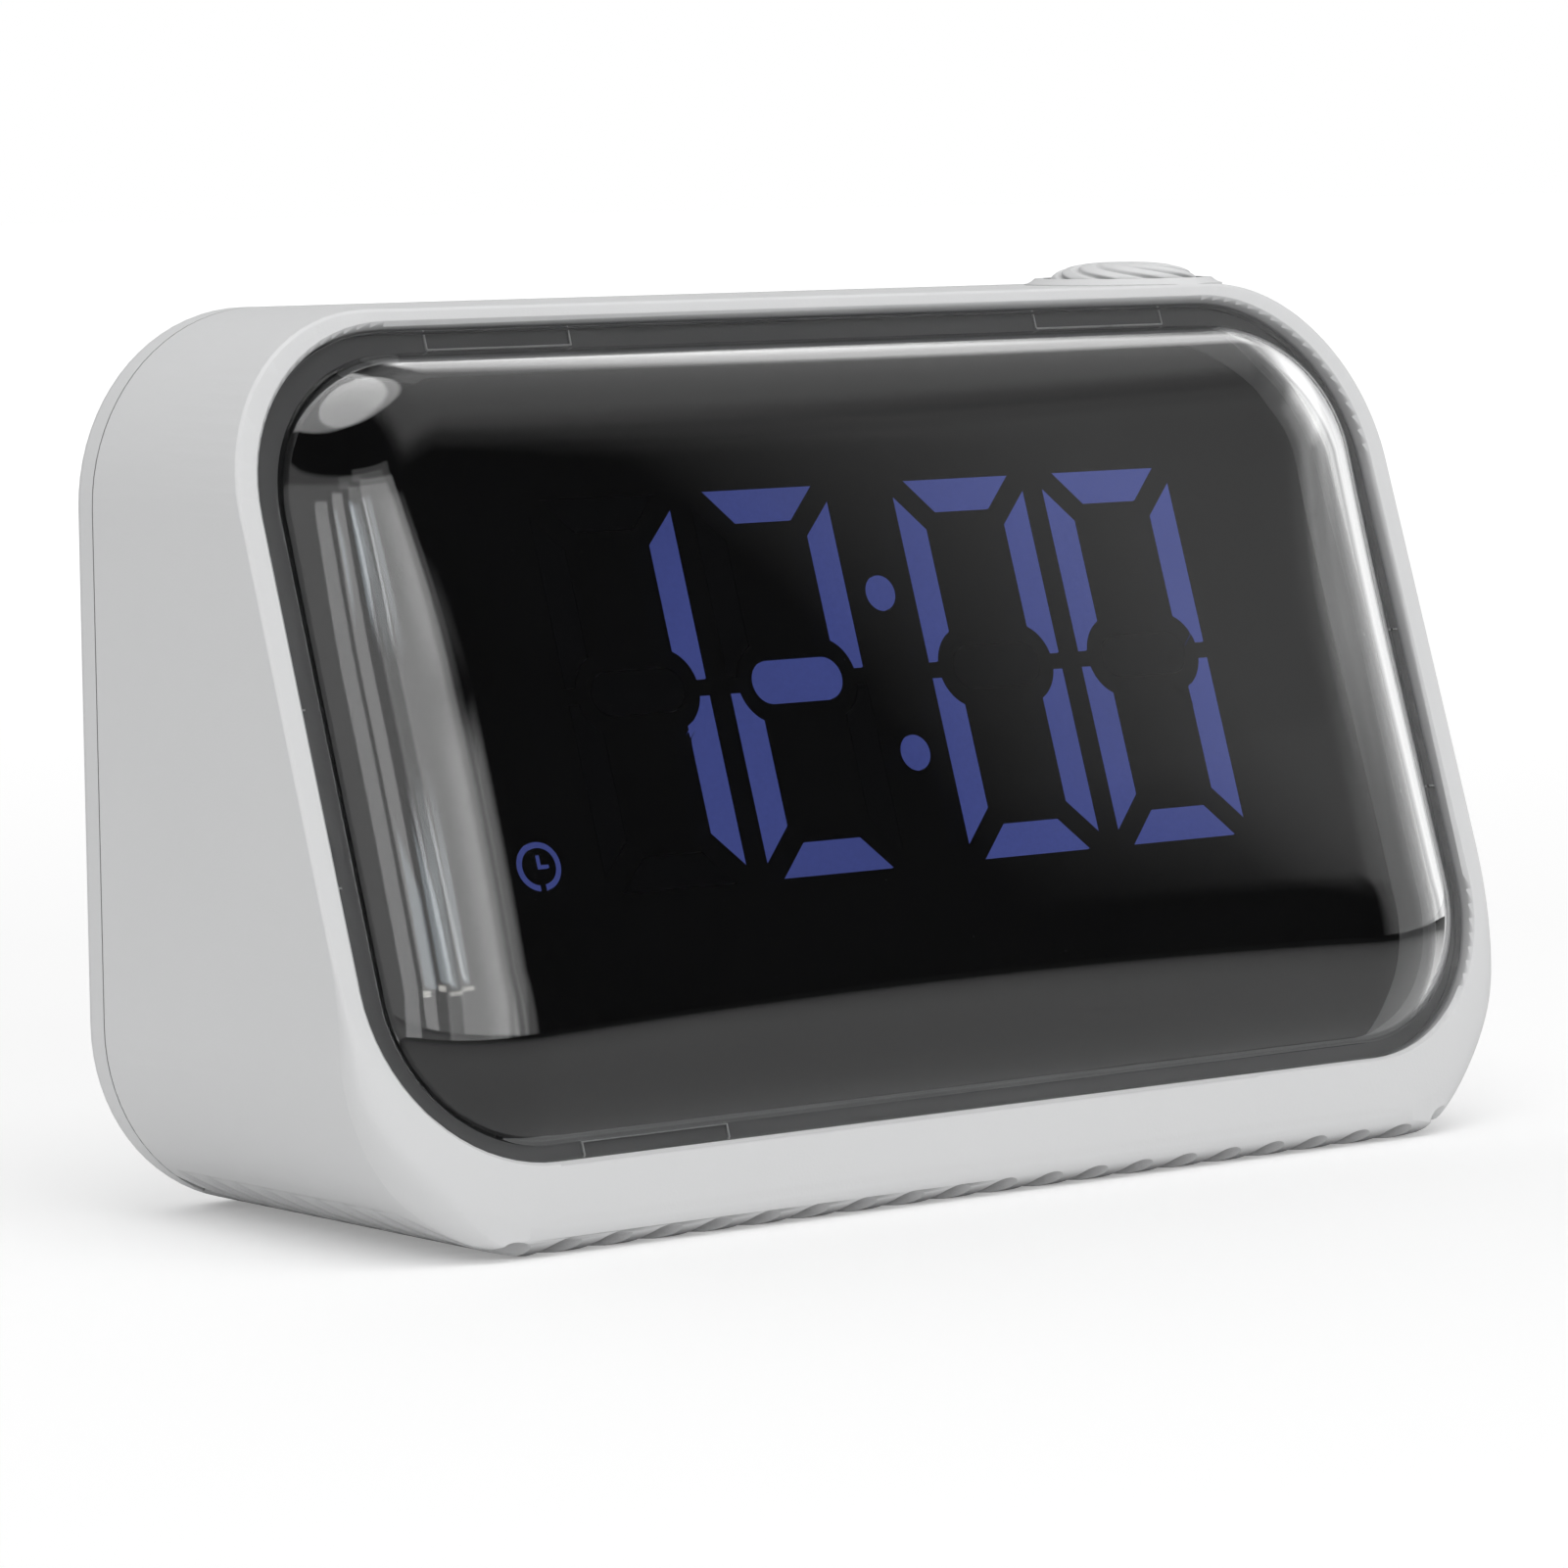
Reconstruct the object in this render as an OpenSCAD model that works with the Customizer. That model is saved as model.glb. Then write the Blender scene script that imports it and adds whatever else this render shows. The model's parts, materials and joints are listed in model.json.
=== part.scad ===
// Desk and fridge timer with a leaning display, a fluted control knob and a magnetic back.
// Units are millimetres. X runs to the right seen from the front, Y to the back, Z up.

/* [Housing] */
// Overall width of the housing
body_width = 100; // [90:0.5:110]
// Overall height of the housing, without the knob
body_height = 60.4; // [55:0.2:70]
// Depth of the flat top, from the top of the leaning face to the back face
top_depth = 15.54; // [14:0.02:20]
// Corner radius of the section seen from the front
corner_radius = 13; // [8:0.5:18]
// Lean of the front face from upright
face_tilt = 18.6; // [10:0.2:28]
// Height of the chin, measured up the front face
chin_height = 4.6; // [3:0.1:8]
// Rounding where the chin turns under the base
chin_round = 1.9; // [1:0.1:3]
// Wall at the sides and the top
wall = 1.84; // [1.5:0.02:2.4]
// Wall at the base
base_wall = 2.6; // [2.2:0.1:3.4]
// Depth of the rear cover
cover_depth = 2.1; // [1.8:0.1:3]
// Open seam between the shell and the rear cover
seam_gap = 0.1; // [0.05:0.05:0.3]
// Edge break around the back face
back_break = 0.6; // [0.3:0.1:1]

/* [Window] */
// Rim beside the window
rim_side = 1.85; // [1.5:0.05:3]
// Rim above the window, measured up the face
rim_top = 1.13; // [1:0.01:3]
// Face below the window, measured up the face
rim_low = 6.4; // [6:0.1:10]
// Corner radius of the window
window_radius = 12.4; // [8:0.1:16]
// Step from the rim down to the lens flange
rim_step = 0.8; // [0.4:0.1:1.5]
// Thickness of the ledge that carries the inner frame and the lens
ledge_thick = 1.8; // [1:0.1:2]
// Thickness of the black inner frame
frame_thick = 0.6; // [0.4:0.1:1]
// Bevel along the inner edge of the rim
rim_bevel = 0.3; // [0.1:0.05:0.5]
// Reach of the ledge into the window
ledge_reach = 2.1; // [1.5:0.1:2.6]

/* [Lens] */
// Thickness of the lens flange
flange_thick = 1.6; // [1:0.1:2]
// Gap around the lens flange
flange_gap = 0.15; // [0.1:0.05:0.3]
// Width of the flange around the dome
flange_width = 1.75; // [1.2:0.05:2.5]
// Height of the dome above the rim
dome_height = 4; // [2:0.1:5]
// Rounding along the edge of the dome
dome_round = 6; // [4:0.1:6.3]
// Wall of the dome
lens_wall = 1.8; // [1.2:0.1:2.4]
// Width of a snap tab on the lens
tab_width = 10.5; // [8:0.5:12]

/* [Display] */
// Thickness of the black display panel
panel_thick = 0.8; // [0.6:0.1:1]
// Width of one digit
digit_width = 11.8; // [10:0.1:13]
// Height of one digit
digit_height = 27.2; // [24:0.1:28]
// Width of one segment
segment_width = 2.4; // [2:0.1:3]
// Gap between neighbouring segments
segment_gap = 0.55; // [0.3:0.05:0.8]
// From the top of the window down to the digit centres
digit_drop = 24.9; // [23:0.1:26]
// Centre of the last digit
last_digit_x = 26.1; // [24:0.1:28]
// Distance between the two digits of a pair
digit_pitch = 13.55; // [12.5:0.05:14.5]
// Distance across the colon
colon_pitch = 17.6; // [16:0.1:19]
// Depth of the light guide behind the panel
guide_depth = 4.6; // [4:0.1:6]
// Thickness of every circuit board
board_thick = 1.6; // [1:0.1:1.6]

/* [Control knob] */
// Knob centre in from the right side
knob_side = 15.2; // [13:0.1:20]
// Knob centre in front of the back face
knob_inset = 8.2; // [7.9:0.1:8.6]
// Radius of the knob cap
knob_radius = 5.5; // [5:0.1:5.6]
// Height of the knob above the housing
knob_rise = 1.6; // [1.2:0.1:2.5]
// Number of swirled flutes on the cap
knob_flutes = 24; // [16:1:30]
// Gap around the knob cap
knob_gap = 0.3; // [0.2:0.05:0.4]
// Press travel of the knob
knob_travel = 0.5; // [0.3:0.1:0.5]

/* [Base flutes] */
// Angle of the base flutes from the X axis
flute_angle = 38; // [30:1:50]
// Distance between flutes, measured across them
flute_pitch = 2.5; // [2:0.05:3.5]
// Radius of a flute
flute_radius = 0.85; // [0.7:0.05:1.1]
// Height that a flute reaches above the base
flute_reach = 1.1; // [0.8:0.05:1.3]

/* [Power and magnets] */
// Radius of a magnet
magnet_radius = 6; // [4:0.5:8]
// Thickness of a magnet
magnet_thick = 2; // [1.5:0.5:2]
// Gap between a magnet's holder and the screw post beside it
magnet_post_gap = 2; // [1:0.1:2]
// Height of the lower magnets
magnet_low = 16; // [14:0.5:20]
// Centres of the upper magnets below the top
magnet_drop = 15.4; // [13:0.1:20]
// Width of the battery
battery_width = 22; // [18:0.5:22]
// Height of the battery
battery_height = 31; // [26:0.5:32]
// Thickness of the battery
battery_thick = 5.2; // [4:0.1:5.6]
// Width of the charging socket
usb_width = 8.94; // [8.9:0.01:9]
// Height of the charging socket
usb_height = 3.16; // [3.1:0.01:3.3]
// Travel of the volume slider from the middle to each end
slider_travel = 1.8; // [1:0.1:2]

/* [Hidden] */
$fn = 64;
eps = 0.01;
ct = cos(face_tilt);
st = sin(face_tilt);
tt = tan(face_tilt);
flange_low = rim_step + flange_thick;
ledge_low = flange_low + frame_thick;
panel_low = ledge_low + ledge_thick;
// distance from the back face to the foot of the front plane, at the height of the base
face_foot = top_depth + body_height * tt;
body_depth = face_foot - chin_height * st;
face_top = body_height / ct;
window_width = body_width - 2 * rim_side;
window_height = face_top - rim_top - rim_low;
window_rise = rim_low + window_height / 2;
digit_rise = face_top - rim_top - digit_drop;
dome_w = window_width - 2 * flange_width;
dome_h = window_height - 2 * flange_width;
dome_r = window_radius - flange_width;
dome_low = window_rise - dome_h / 2 + dome_round;
dome_reach = face_foot - dome_low * st + (dome_height - dome_round) * ct + dome_round;
back_y = max(body_depth, dome_reach) / 2;
knob_x = body_width / 2 - knob_side;
knob_y = back_y - knob_inset;
seam_y = back_y - cover_depth;
chin_y = back_y - body_depth;
// where the first flute meets the chin, and how steeply the flutes climb the rounded sides
first_flute = 30;
flute_rise = 0.29;
guide_low = panel_low + panel_thick;
board_low = guide_low + guide_depth;
digit_x = [
    last_digit_x - 2 * digit_pitch - colon_pitch,
    last_digit_x - digit_pitch - colon_pitch,
    last_digit_x - digit_pitch,
    last_digit_x
];
colon_x = last_digit_x - digit_pitch - colon_pitch / 2;
colon_drop = 5.7;
icon_x = digit_x[0] - digit_width / 2 - 5;
icon_rise = digit_rise - 11.2;
icon_bridge = 0.35;
// segments that are lit for the time shown, digit by digit: a, b, c, d, e, f, g
lit = [
    [0, 1, 1, 0, 0, 0, 0],
    [1, 1, 0, 1, 1, 0, 1],
    [1, 1, 1, 1, 1, 1, 0],
    [1, 1, 1, 1, 1, 1, 0]
];
light_gap = 0.05;
frame_gap = 0.1;
frame_wall = 0.5;
tab_gap = 0.3;
screw_r = 1;
small_r = 0.75;
small_hole = 0.95;
pilot_gap = 0.05;
boss_r = 2.6;
boss_x = body_width / 2 - wall - boss_r + 0.24;
boss_z = [9, body_height - 9.4];
boss_len = [14, 9.5];
main_y = back_y - 9.6;
main_x = [body_width / 2 - 44, body_width / 2 - 7];
main_z = [5.5, body_height - 26.4];
port_z = 13;
usb_x = main_x[0] + 6;
switch_x = usb_x + 10.6;
holder_wall = 1.2;
magnet_x = boss_x - boss_r - magnet_post_gap - holder_wall - magnet_radius;
encoder_w = 6.2;
encoder_z = [body_height - 9.4, body_height - 6];
encoder_board_thick = 1;
encoder_board_x = [-8.8, 7.8];
encoder_board_y = [-3.6, 4.6];
encoder_screw_x = [-6.9, 6.5];
encoder_screw_y = 2.2;
encoder_post_r = 1.5;
shaft_r = 2;
running_gap = 0.05;
fit_gap = 0.02;
// room left under the knob, its stem and its plunger when it is pressed right down
press_room = knob_travel + 0.1;
bush_high = 0.4;
bore_floor = encoder_z[0] + 0.3;
plunger_thick = 0.6;
plunger_z = bore_floor + press_room;
shaft_z = [plunger_z + plunger_thick + 0.05, body_height + 0.35];
shaft_flat = 1.4;
flat_z = shaft_z[1] - 3.4;
stem_r = 2.8;
// half width and depth of the notch in the panel's top edge, in front of the knob's stem
stem_relief = [3.6, 1.1];
stem_gap = 0.3;
cap_z = body_height - 0.4;
cap_edge = 0.9;
cap_crown = 3;
cap_curve = 4.6;
cap_hollow = 0.8;
groove_r = 0.42;
groove_turn = 38;
groove_lean = 108;
collar_high = 0.45;
collar_curve = 1.6;

// rounded rectangle about the middle
module rrect(w, h, r) {
    square([w - 2 * r, h], center = true);
    square([w, h - 2 * r], center = true);
    for (sx = [-1, 1], sy = [-1, 1])
        translate([sx * (w / 2 - r), sy * (h / 2 - r)])
            circle(r);
}

// places children on the leaning front plane: x right, y up the face, z outwards
module face() {
    translate([0, back_y - face_foot, 0])
        rotate([90 - face_tilt, 0, 0])
            children();
}

// prism along Y with the housing section grown by g, from y0 to y1
module section(g, y0, y1) {
    translate([0, y1, body_height / 2])
        rotate([90, 0, 0])
            linear_extrude(y1 - y0)
                rrect(body_width + 2 * g, body_height + 2 * g, corner_radius + g);
}

// block with a flat top and rounded top edges, standing on z = 0
module pillow(w, h, r, e, t) {
    module across(half, len) {
        rotate([90, 0, 90])
            translate([0, 0, -len / 2])
                linear_extrude(len) {
                    translate([-half, 0])
                        square([2 * half, t - e]);
                    translate([-half + e, 0])
                        square([2 * (half - e), t]);
                    for (s = [-1, 1])
                        translate([s * (half - e), t - e])
                            circle(e);
                }
    }
    intersection() {
        union() {
            across(h / 2, w - 2 * r);
            rotate([0, 0, 90])
                across(w / 2, h - 2 * r);
            for (sx = [-1, 1], sy = [-1, 1])
                translate([sx * (w / 2 - r), sy * (h / 2 - r), 0])
                    rotate_extrude() {
                        square([r, t - e]);
                        square([r - e, t]);
                        translate([r - e, t - e])
                            intersection() {
                                circle(e);
                                square(e);
                            }
                    }
        }
        translate([-w, -h, 0])
            cube([2 * w, 2 * h, t]);
    }
}

// rounded block that widens upwards by e over its height e, for bevelling a rim
module flare(w, h, r, e) {
    module across(half, len) {
        rotate([90, 0, 90])
            translate([0, 0, -len / 2])
                linear_extrude(len)
                    polygon([[-half, 0], [half, 0], [half + 2 * e, 2 * e], [-half - 2 * e, 2 * e]]);
    }
    across(h / 2, w - 2 * r);
    rotate([0, 0, 90])
        across(w / 2, h - 2 * r);
    for (sx = [-1, 1], sy = [-1, 1])
        translate([sx * (w / 2 - r), sy * (h / 2 - r), 0])
            rotate_extrude()
                polygon([[0, 0], [r, 0], [r + 2 * e, 2 * e], [0, 2 * e]]);
}

// round bar between two points, with a ball at each end
module bar(a, b, r) {
    d = b - a;
    l = norm(d);
    translate(a)
        rotate([0, acos(d[2] / l), atan2(d[1], d[0])])
            cylinder(h = l, r = r, $fn = 24);
    translate(a)
        sphere(r, $fn = 24);
    translate(b)
        sphere(r, $fn = 24);
}

// plain round rod between two points
module rod(a, b, r) {
    d = b - a;
    l = norm(d);
    translate(a)
        rotate([0, acos(d[2] / l), atan2(d[1], d[0])])
            cylinder(h = l, r = r);
}

// cylinder along Y from y0 to y1
module rod_y(x, z, r, y0, y1) {
    translate([x, y1, z])
        rotate([90, 0, 0])
            cylinder(h = y1 - y0, r = r);
}

// side view of the housing: leaning front, upright chin and the turn under it
module side_view() {
    turn_z = chin_round * 0.985;
    rim_z = chin_height * ct;
    polygon([
        [chin_y, turn_z], [chin_y, rim_z], [chin_y + (2 * body_height - rim_z) * tt, 2 * body_height],
        [body_depth, 2 * body_height], [body_depth, -5],
        [chin_y + chin_round, -5], [chin_y + chin_round, turn_z]
    ]);
    translate([chin_y + chin_round, turn_z])
        circle(chin_round);
}

// top view of the housing: its front corners stand straight under the rim's round corners
module top_view() {
    y0 = chin_y - 0.02;
    rx = window_radius + wall;
    ry = rx * st;
    cx = body_width / 2 + 0.02 - rx;
    polygon(concat(
        [[-cx - rx, body_depth]],
        [for (a = [0:5:90]) [-cx - rx * cos(a), y0 + ry - ry * sin(a)]],
        [for (a = [90:-5:0]) [cx + rx * cos(a), y0 + ry - ry * sin(a)]],
        [[cx + rx, body_depth]]
    ));
}

// closed outer form of the shell, from the seam to the front
module skin() {
    intersection() {
        section(0, -2 * body_depth, seam_y - seam_gap);
        translate([-body_width, 0, 0])
            rotate([90, 0, 90])
                linear_extrude(2 * body_width)
                    side_view();
        translate([0, 0, -10])
            linear_extrude(2 * body_height)
                top_view();
    }
}

// grooves under the base: straight runs, with rising ends at both rounded sides
module base_flutes() {
    step = flute_pitch / sin(flute_angle);
    slope = tan(flute_angle);
    z0 = flute_reach - flute_radius;
    turn = body_width / 2 - corner_radius + 1;
    out = 13;
    for (k = [-15:19]) {
        x0 = first_flute - k * step;
        rod(
            [x0 - 46, chin_y + 46 * slope, z0],
            [x0 + 6, chin_y - 6 * slope, z0],
            flute_radius
        );
        for (s = [-1, 1]) {
            y = chin_y - (s * turn - x0) * slope;
            if (y < seam_y - 2 && y > chin_y - 1)
                rod(
                    [s * turn, y, z0 - flute_rise],
                    [s * (turn + out), y - s * out * slope, z0 + out * flute_rise],
                    flute_radius - 0.03
                );
        }
    }
}

// raised ring that the knob sits in
module knob_collar() {
    hole = knob_radius + knob_gap;
    sunk = 0.2;
    translate([knob_x, knob_y, body_height - sunk])
        rotate_extrude()
            difference() {
                translate([hole - 0.5, 0])
                    square([1.9, sunk + collar_high]);
                translate([hole + 0.15 + collar_curve, sunk + collar_curve])
                    circle(collar_curve);
            }
}

// places children at the two screws beside the encoder
module at_encoder_screws() {
    for (x = encoder_screw_x)
        translate([knob_x + x, knob_y + encoder_screw_y, 0])
            children();
}

module front_shell() {
    color([0.9, 0.9, 0.9])
    difference() {
        union() {
            difference() {
                skin();
                intersection() {
                    section(-wall, back_y - body_depth, back_y);
                    face()
                        translate([-body_width, -10, -60 - panel_low])
                            cube([2 * body_width, 100, 60]);
                    translate([-body_width, -body_depth, base_wall])
                        cube([2 * body_width, 2 * body_depth, body_height]);
                }
            }
            intersection() {
                for (s = [-1, 1], i = [0, 1])
                    rod_y(s * boss_x, boss_z[i], boss_r,
                        seam_y - seam_gap - boss_len[i], seam_y - seam_gap);
                section(-wall / 2, -body_depth, back_y);
            }
            at_encoder_screws()
                translate([0, 0, encoder_z[0]])
                    cylinder(h = body_height - wall / 2 - encoder_z[0], r = encoder_post_r);
            intersection() {
                knob_collar();
                translate([0, seam_y - seam_gap - body_depth, 0])
                    cube([body_width, body_depth, 2 * body_height]);
            }
        }
        face()
            translate([0, window_rise, -flange_low])
                linear_extrude(20)
                    rrect(window_width, window_height, window_radius);
        face()
            translate([0, window_rise, -ledge_low])
                linear_extrude(frame_thick + eps)
                    rrect(window_width, window_height, window_radius);
        face()
            translate([0, window_rise, -rim_bevel])
                flare(window_width, window_height, window_radius, rim_bevel);
        face()
            translate([0, window_rise, -panel_low - 1])
                linear_extrude(20)
                    rrect(window_width - 2 * ledge_reach, window_height - 2 * ledge_reach,
                        window_radius - ledge_reach);
        tab_slots();
        base_flutes();
        for (s = [-1, 1], i = [0, 1])
            rod_y(s * boss_x, boss_z[i], screw_r + pilot_gap,
                seam_y - seam_gap - boss_len[i] + 1.2, back_y);
        at_encoder_screws()
            translate([0, 0, encoder_z[0] - 1])
                cylinder(h = 6, r = small_r + pilot_gap);
        translate([knob_x, knob_y, cap_z - press_room])
            cylinder(h = 4, r = knob_radius + knob_gap);
        translate([knob_x, knob_y, body_height - 4])
            cylinder(h = 8, r = stem_r + stem_gap);
    }
}

// middle of each snap tab along its edge of the window: top and bottom in x, sides in height
tab_top = [-30, 23];
tab_low = [-27, 27];
tab_side = [-4];

// runs children at every snap tab: local x along the edge, local y outwards
module at_tabs() {
    half_w = window_width / 2 - ledge_reach;
    half_h = window_height / 2 - ledge_reach;
    translate([0, window_rise, 0]) {
        for (x = tab_top)
            translate([x, half_h, 0])
                children();
        for (x = tab_low)
            translate([x, -half_h, 0])
                rotate([0, 0, 180])
                    children();
        for (y = tab_side, s = [-1, 1])
            translate([s * half_w, y, 0])
                rotate([0, 0, -90 * s])
                    children();
    }
}

// notches that the snap tabs pass through
module tab_slots() {
    face()
        at_tabs()
            translate([-tab_width / 2 - tab_gap, -1, -panel_low - 1])
                cube([tab_width + 2 * tab_gap, 2.1, ledge_thick + 1 + eps]);
}

module lens() {
    color([0.85, 0.88, 0.9, 0.35])
    face() {
        difference() {
            union() {
                translate([0, window_rise, -flange_low])
                    linear_extrude(flange_thick)
                        rrect(window_width - 2 * flange_gap, window_height - 2 * flange_gap,
                            window_radius - flange_gap);
                translate([0, window_rise, -flange_low])
                    pillow(dome_w, dome_h, dome_r, dome_round, flange_low + dome_height);
            }
            translate([0, window_rise, -flange_low - eps])
                pillow(dome_w - 2 * lens_wall, dome_h - 2 * lens_wall, dome_r - lens_wall,
                    dome_round - lens_wall, flange_low + dome_height - lens_wall + eps);
        }
        at_tabs()
            translate([-tab_width / 2, 0, -panel_low + 0.3])
                cube([tab_width, 0.8, panel_low - flange_low]);
    }
}

// black frame under the lens: a flat ring on the ledge and a sleeve through it, open to the display
module inner_frame() {
    reach = ledge_reach + frame_gap;
    inner = reach + frame_wall;
    color([0.03, 0.03, 0.03])
    face()
        difference() {
            union() {
                translate([0, window_rise, -ledge_low])
                    linear_extrude(frame_thick)
                        rrect(window_width - 2 * flange_gap, window_height - 2 * flange_gap,
                            window_radius - flange_gap);
                translate([0, window_rise, -panel_low])
                    linear_extrude(panel_low - flange_low)
                        rrect(window_width - 2 * reach, window_height - 2 * reach, window_radius - reach);
            }
            translate([0, window_rise, -panel_low - 1])
                linear_extrude(panel_low + 1)
                    rrect(window_width - 2 * inner, window_height - 2 * inner, window_radius - inner);
            at_tabs()
                translate([-tab_width / 2 - tab_gap, -0.05, -panel_low - 1])
                    cube([tab_width + 2 * tab_gap, 1.15, panel_low]);
        }
}

// one segment of a digit, named by its index, about the digit centre
module segment(i, g) {
    w = digit_width / 2;
    h = digit_height / 2;
    t = segment_width;
    d = segment_gap;
    c = 1.15;
    module flat()
        polygon([
            [-w + c + g, h - g], [w - c - g, h - g],
            [w - c - t + 0.1 - g, h - t + g], [-w + c + t - 0.1 + g, h - t + g]
        ]);
    module side()
        difference() {
            polygon([
                [w - g, h - c - g], [w - g, d + g], [w - t + g, d + g], [w - t + g, h - c - t - g]
            ]);
            translate([w - t - 1.3, 0])
                circle(2.9 + g);
        }
    if (i == 0) flat();
    if (i == 1) side();
    if (i == 2) mirror([0, 1]) side();
    if (i == 3) mirror([0, 1]) flat();
    if (i == 4) mirror([1, 0]) mirror([0, 1]) side();
    if (i == 5) mirror([1, 0]) side();
    if (i == 6) {
        square([4.7 - 2 * g, 3.1 - 2 * g], center = true);
        for (s = [-1, 1])
            translate([s * 2.35, 0])
                circle(1.55 - g);
    }
}

// flat pattern of the display: state 1 lit, 0 dark, 2 both; g shrinks every outline
module pattern(state, g) {
    for (n = [0:3], i = [0:6])
        if (state == 2 || lit[n][i] == state)
            translate([digit_x[n], digit_rise])
                segment(i, g);
    if (state > 0) {
        for (s = [-1, 1])
            translate([colon_x, digit_rise + s * colon_drop])
                circle(1.3 - g);
        translate([icon_x, icon_rise])
            difference() {
                circle(1.7 - g);
                circle(1.25 + g);
                translate([-icon_bridge / 2 - g, -2])
                    square([icon_bridge + 2 * g, 2 - 0.9]);
            }
        translate([icon_x - 0.16 + g, icon_rise - 0.2 + g])
            square([0.32 - 2 * g, 1 - 2 * g]);
        translate([icon_x - 0.16 + g, icon_rise - 0.2 + g])
            square([0.9 - 2 * g, 0.32 - 2 * g]);
    }
}

module display_panel() {
    drop = 0.9;
    short = 0.6;
    top = window_rise - drop + (window_height - short) / 2;
    color([0.02, 0.02, 0.025])
    face()
        translate([0, 0, -guide_low])
            difference() {
                translate([0, window_rise - drop, 0])
                    linear_extrude(panel_thick)
                        rrect(window_width - 0.9, window_height - short, window_radius - 0.4);
                translate([knob_x - stem_relief[0], top - stem_relief[1], -1])
                    cube([2 * stem_relief[0], 5, 4]);
                translate([0, 0, -1])
                    linear_extrude(4)
                        pattern(2, 0);
            }
}

module lit_segments() {
    color([0.35, 0.4, 0.72])
    face()
        translate([0, 0, -guide_low])
            linear_extrude(panel_thick)
                pattern(1, light_gap);
}

module unlit_segments() {
    color([0.06, 0.06, 0.08])
    face()
        translate([0, 0, -guide_low])
            linear_extrude(panel_thick)
                pattern(0, light_gap);
}

guide_x = [icon_x - 3.5, last_digit_x + digit_width / 2 + 4];
guide_s = [digit_rise - digit_height / 2 - 3.6, digit_rise + digit_height / 2 + 3.2];
display_board_x = [guide_x[0] - 8, guide_x[1] + 3];
display_board_s = guide_s[0] - 5.5;

// corners of the light guide that take the board screws
module at_guide_screws() {
    for (x = [guide_x[0] + 3, guide_x[1] - 2], s = [guide_s[0] + 1.8, guide_s[1] - 1.8])
        if (!(x < 0 && s < 30))
            translate([x, s, 0])
                children();
    translate([-24, guide_s[0] + 1.8, 0])
        children();
}

module light_guide() {
    color([0.12, 0.12, 0.13])
    face()
        difference() {
            translate([guide_x[0], guide_s[0], -board_low])
                cube([guide_x[1] - guide_x[0], guide_s[1] - guide_s[0], guide_depth]);
            for (n = [0:3], i = [0:6])
                translate([digit_x[n], digit_rise, -board_low - 1])
                    linear_extrude(guide_depth + 2)
                        segment(i, 0);
            for (s = [-1, 1])
                translate([colon_x, digit_rise + s * colon_drop, -board_low - 1])
                    cylinder(h = guide_depth + 2, r = 1.3);
            translate([icon_x, icon_rise, -board_low - 1])
                cylinder(h = guide_depth + 2, r = 1.9);
            at_guide_screws()
                translate([0, 0, -board_low - 1])
                    cylinder(h = 5, r = small_r + pilot_gap);
        }
}

module display_board() {
    color([0.05, 0.3, 0.16])
    face()
        difference() {
            translate([display_board_x[0], display_board_s, -board_low - board_thick])
                cube([display_board_x[1] - display_board_x[0], guide_s[1] - display_board_s, board_thick]);
            at_guide_screws()
                translate([0, 0, -board_low - 3])
                    cylinder(h = 5, r = small_hole);
        }
}

// middle of each segment, for its light
function led_at(i) = let (
    w = digit_width / 2 - segment_width / 2,
    h = digit_height / 2 - segment_width / 2,
    v = digit_height / 4 + 0.6
) [[0, h], [w, v], [w, -v], [0, -h], [-w, -v], [-w, v], [0, 0]][i];

module led(x, s) {
    translate([x - 0.5, s - 0.8, -board_low])
        cube([1, 1.6, 0.7]);
}

module segment_leds() {
    color([0.95, 0.93, 0.75])
    face() {
        for (n = [0:3], i = [0:6])
            led(digit_x[n] + led_at(i)[0], digit_rise + led_at(i)[1]);
        for (s = [-1, 1])
            led(colon_x, digit_rise + s * colon_drop);
        led(icon_x, icon_rise);
    }
}

// small pan-head screw: head on top of z = 0, shank below
module small_screw(len) {
    translate([0, 0, -len])
        cylinder(h = len + 0.5, r = small_r);
    difference() {
        cylinder(h = 1, r = 1.5);
        translate([0, 0, 0.5])
            for (a = [0, 90])
                rotate([0, 0, a])
                    translate([-1, -0.2, 0])
                        cube([2, 0.4, 1]);
    }
}

module display_board_screws() {
    color([0.7, 0.7, 0.72])
    face()
        at_guide_screws()
            translate([0, 0, -board_low - board_thick])
                rotate([180, 0, 0])
                    small_screw(board_thick + 3);
}

post_inset = 3;
main_posts = [
    for (x = [main_x[0] + post_inset, main_x[1] - post_inset])
        for (z = [main_z[0] + post_inset, main_z[1] - post_inset - 1])
            [x, z]
];
post_r = 2.1;

module main_board() {
    color([0.05, 0.3, 0.16])
    difference() {
        translate([main_x[0], main_y, main_z[0]])
            cube([main_x[1] - main_x[0], board_thick, main_z[1] - main_z[0]]);
        for (p = main_posts)
            rod_y(p[0], p[1], small_hole, main_y - 1, main_y + 3);
    }
}

module main_board_screws() {
    color([0.7, 0.7, 0.72])
    for (p = main_posts)
        translate([p[0], main_y, p[1]])
            rotate([90, 0, 0])
                small_screw(board_thick + 3);
}

chip = [7, 1, 7];
chip_at = [main_x[0] + 22, main_z[0] + 14.5];

module controller_chip() {
    color([0.07, 0.07, 0.08])
    translate([chip_at[0], main_y - chip[1], chip_at[1]])
        cube(chip);
}

buzzer_r = 4.5;
buzzer_high = 4;
buzzer_hole = 1.2;
buzzer_at = [main_x[0] + 11.5, main_z[0] + 9];

module buzzer() {
    color([0.1, 0.1, 0.1])
    difference() {
        rod_y(buzzer_at[0], buzzer_at[1], buzzer_r, main_y - buzzer_high, main_y);
        rod_y(buzzer_at[0], buzzer_at[1], buzzer_hole, main_y - buzzer_high - 1, main_y - buzzer_high + 1);
    }
}

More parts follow.
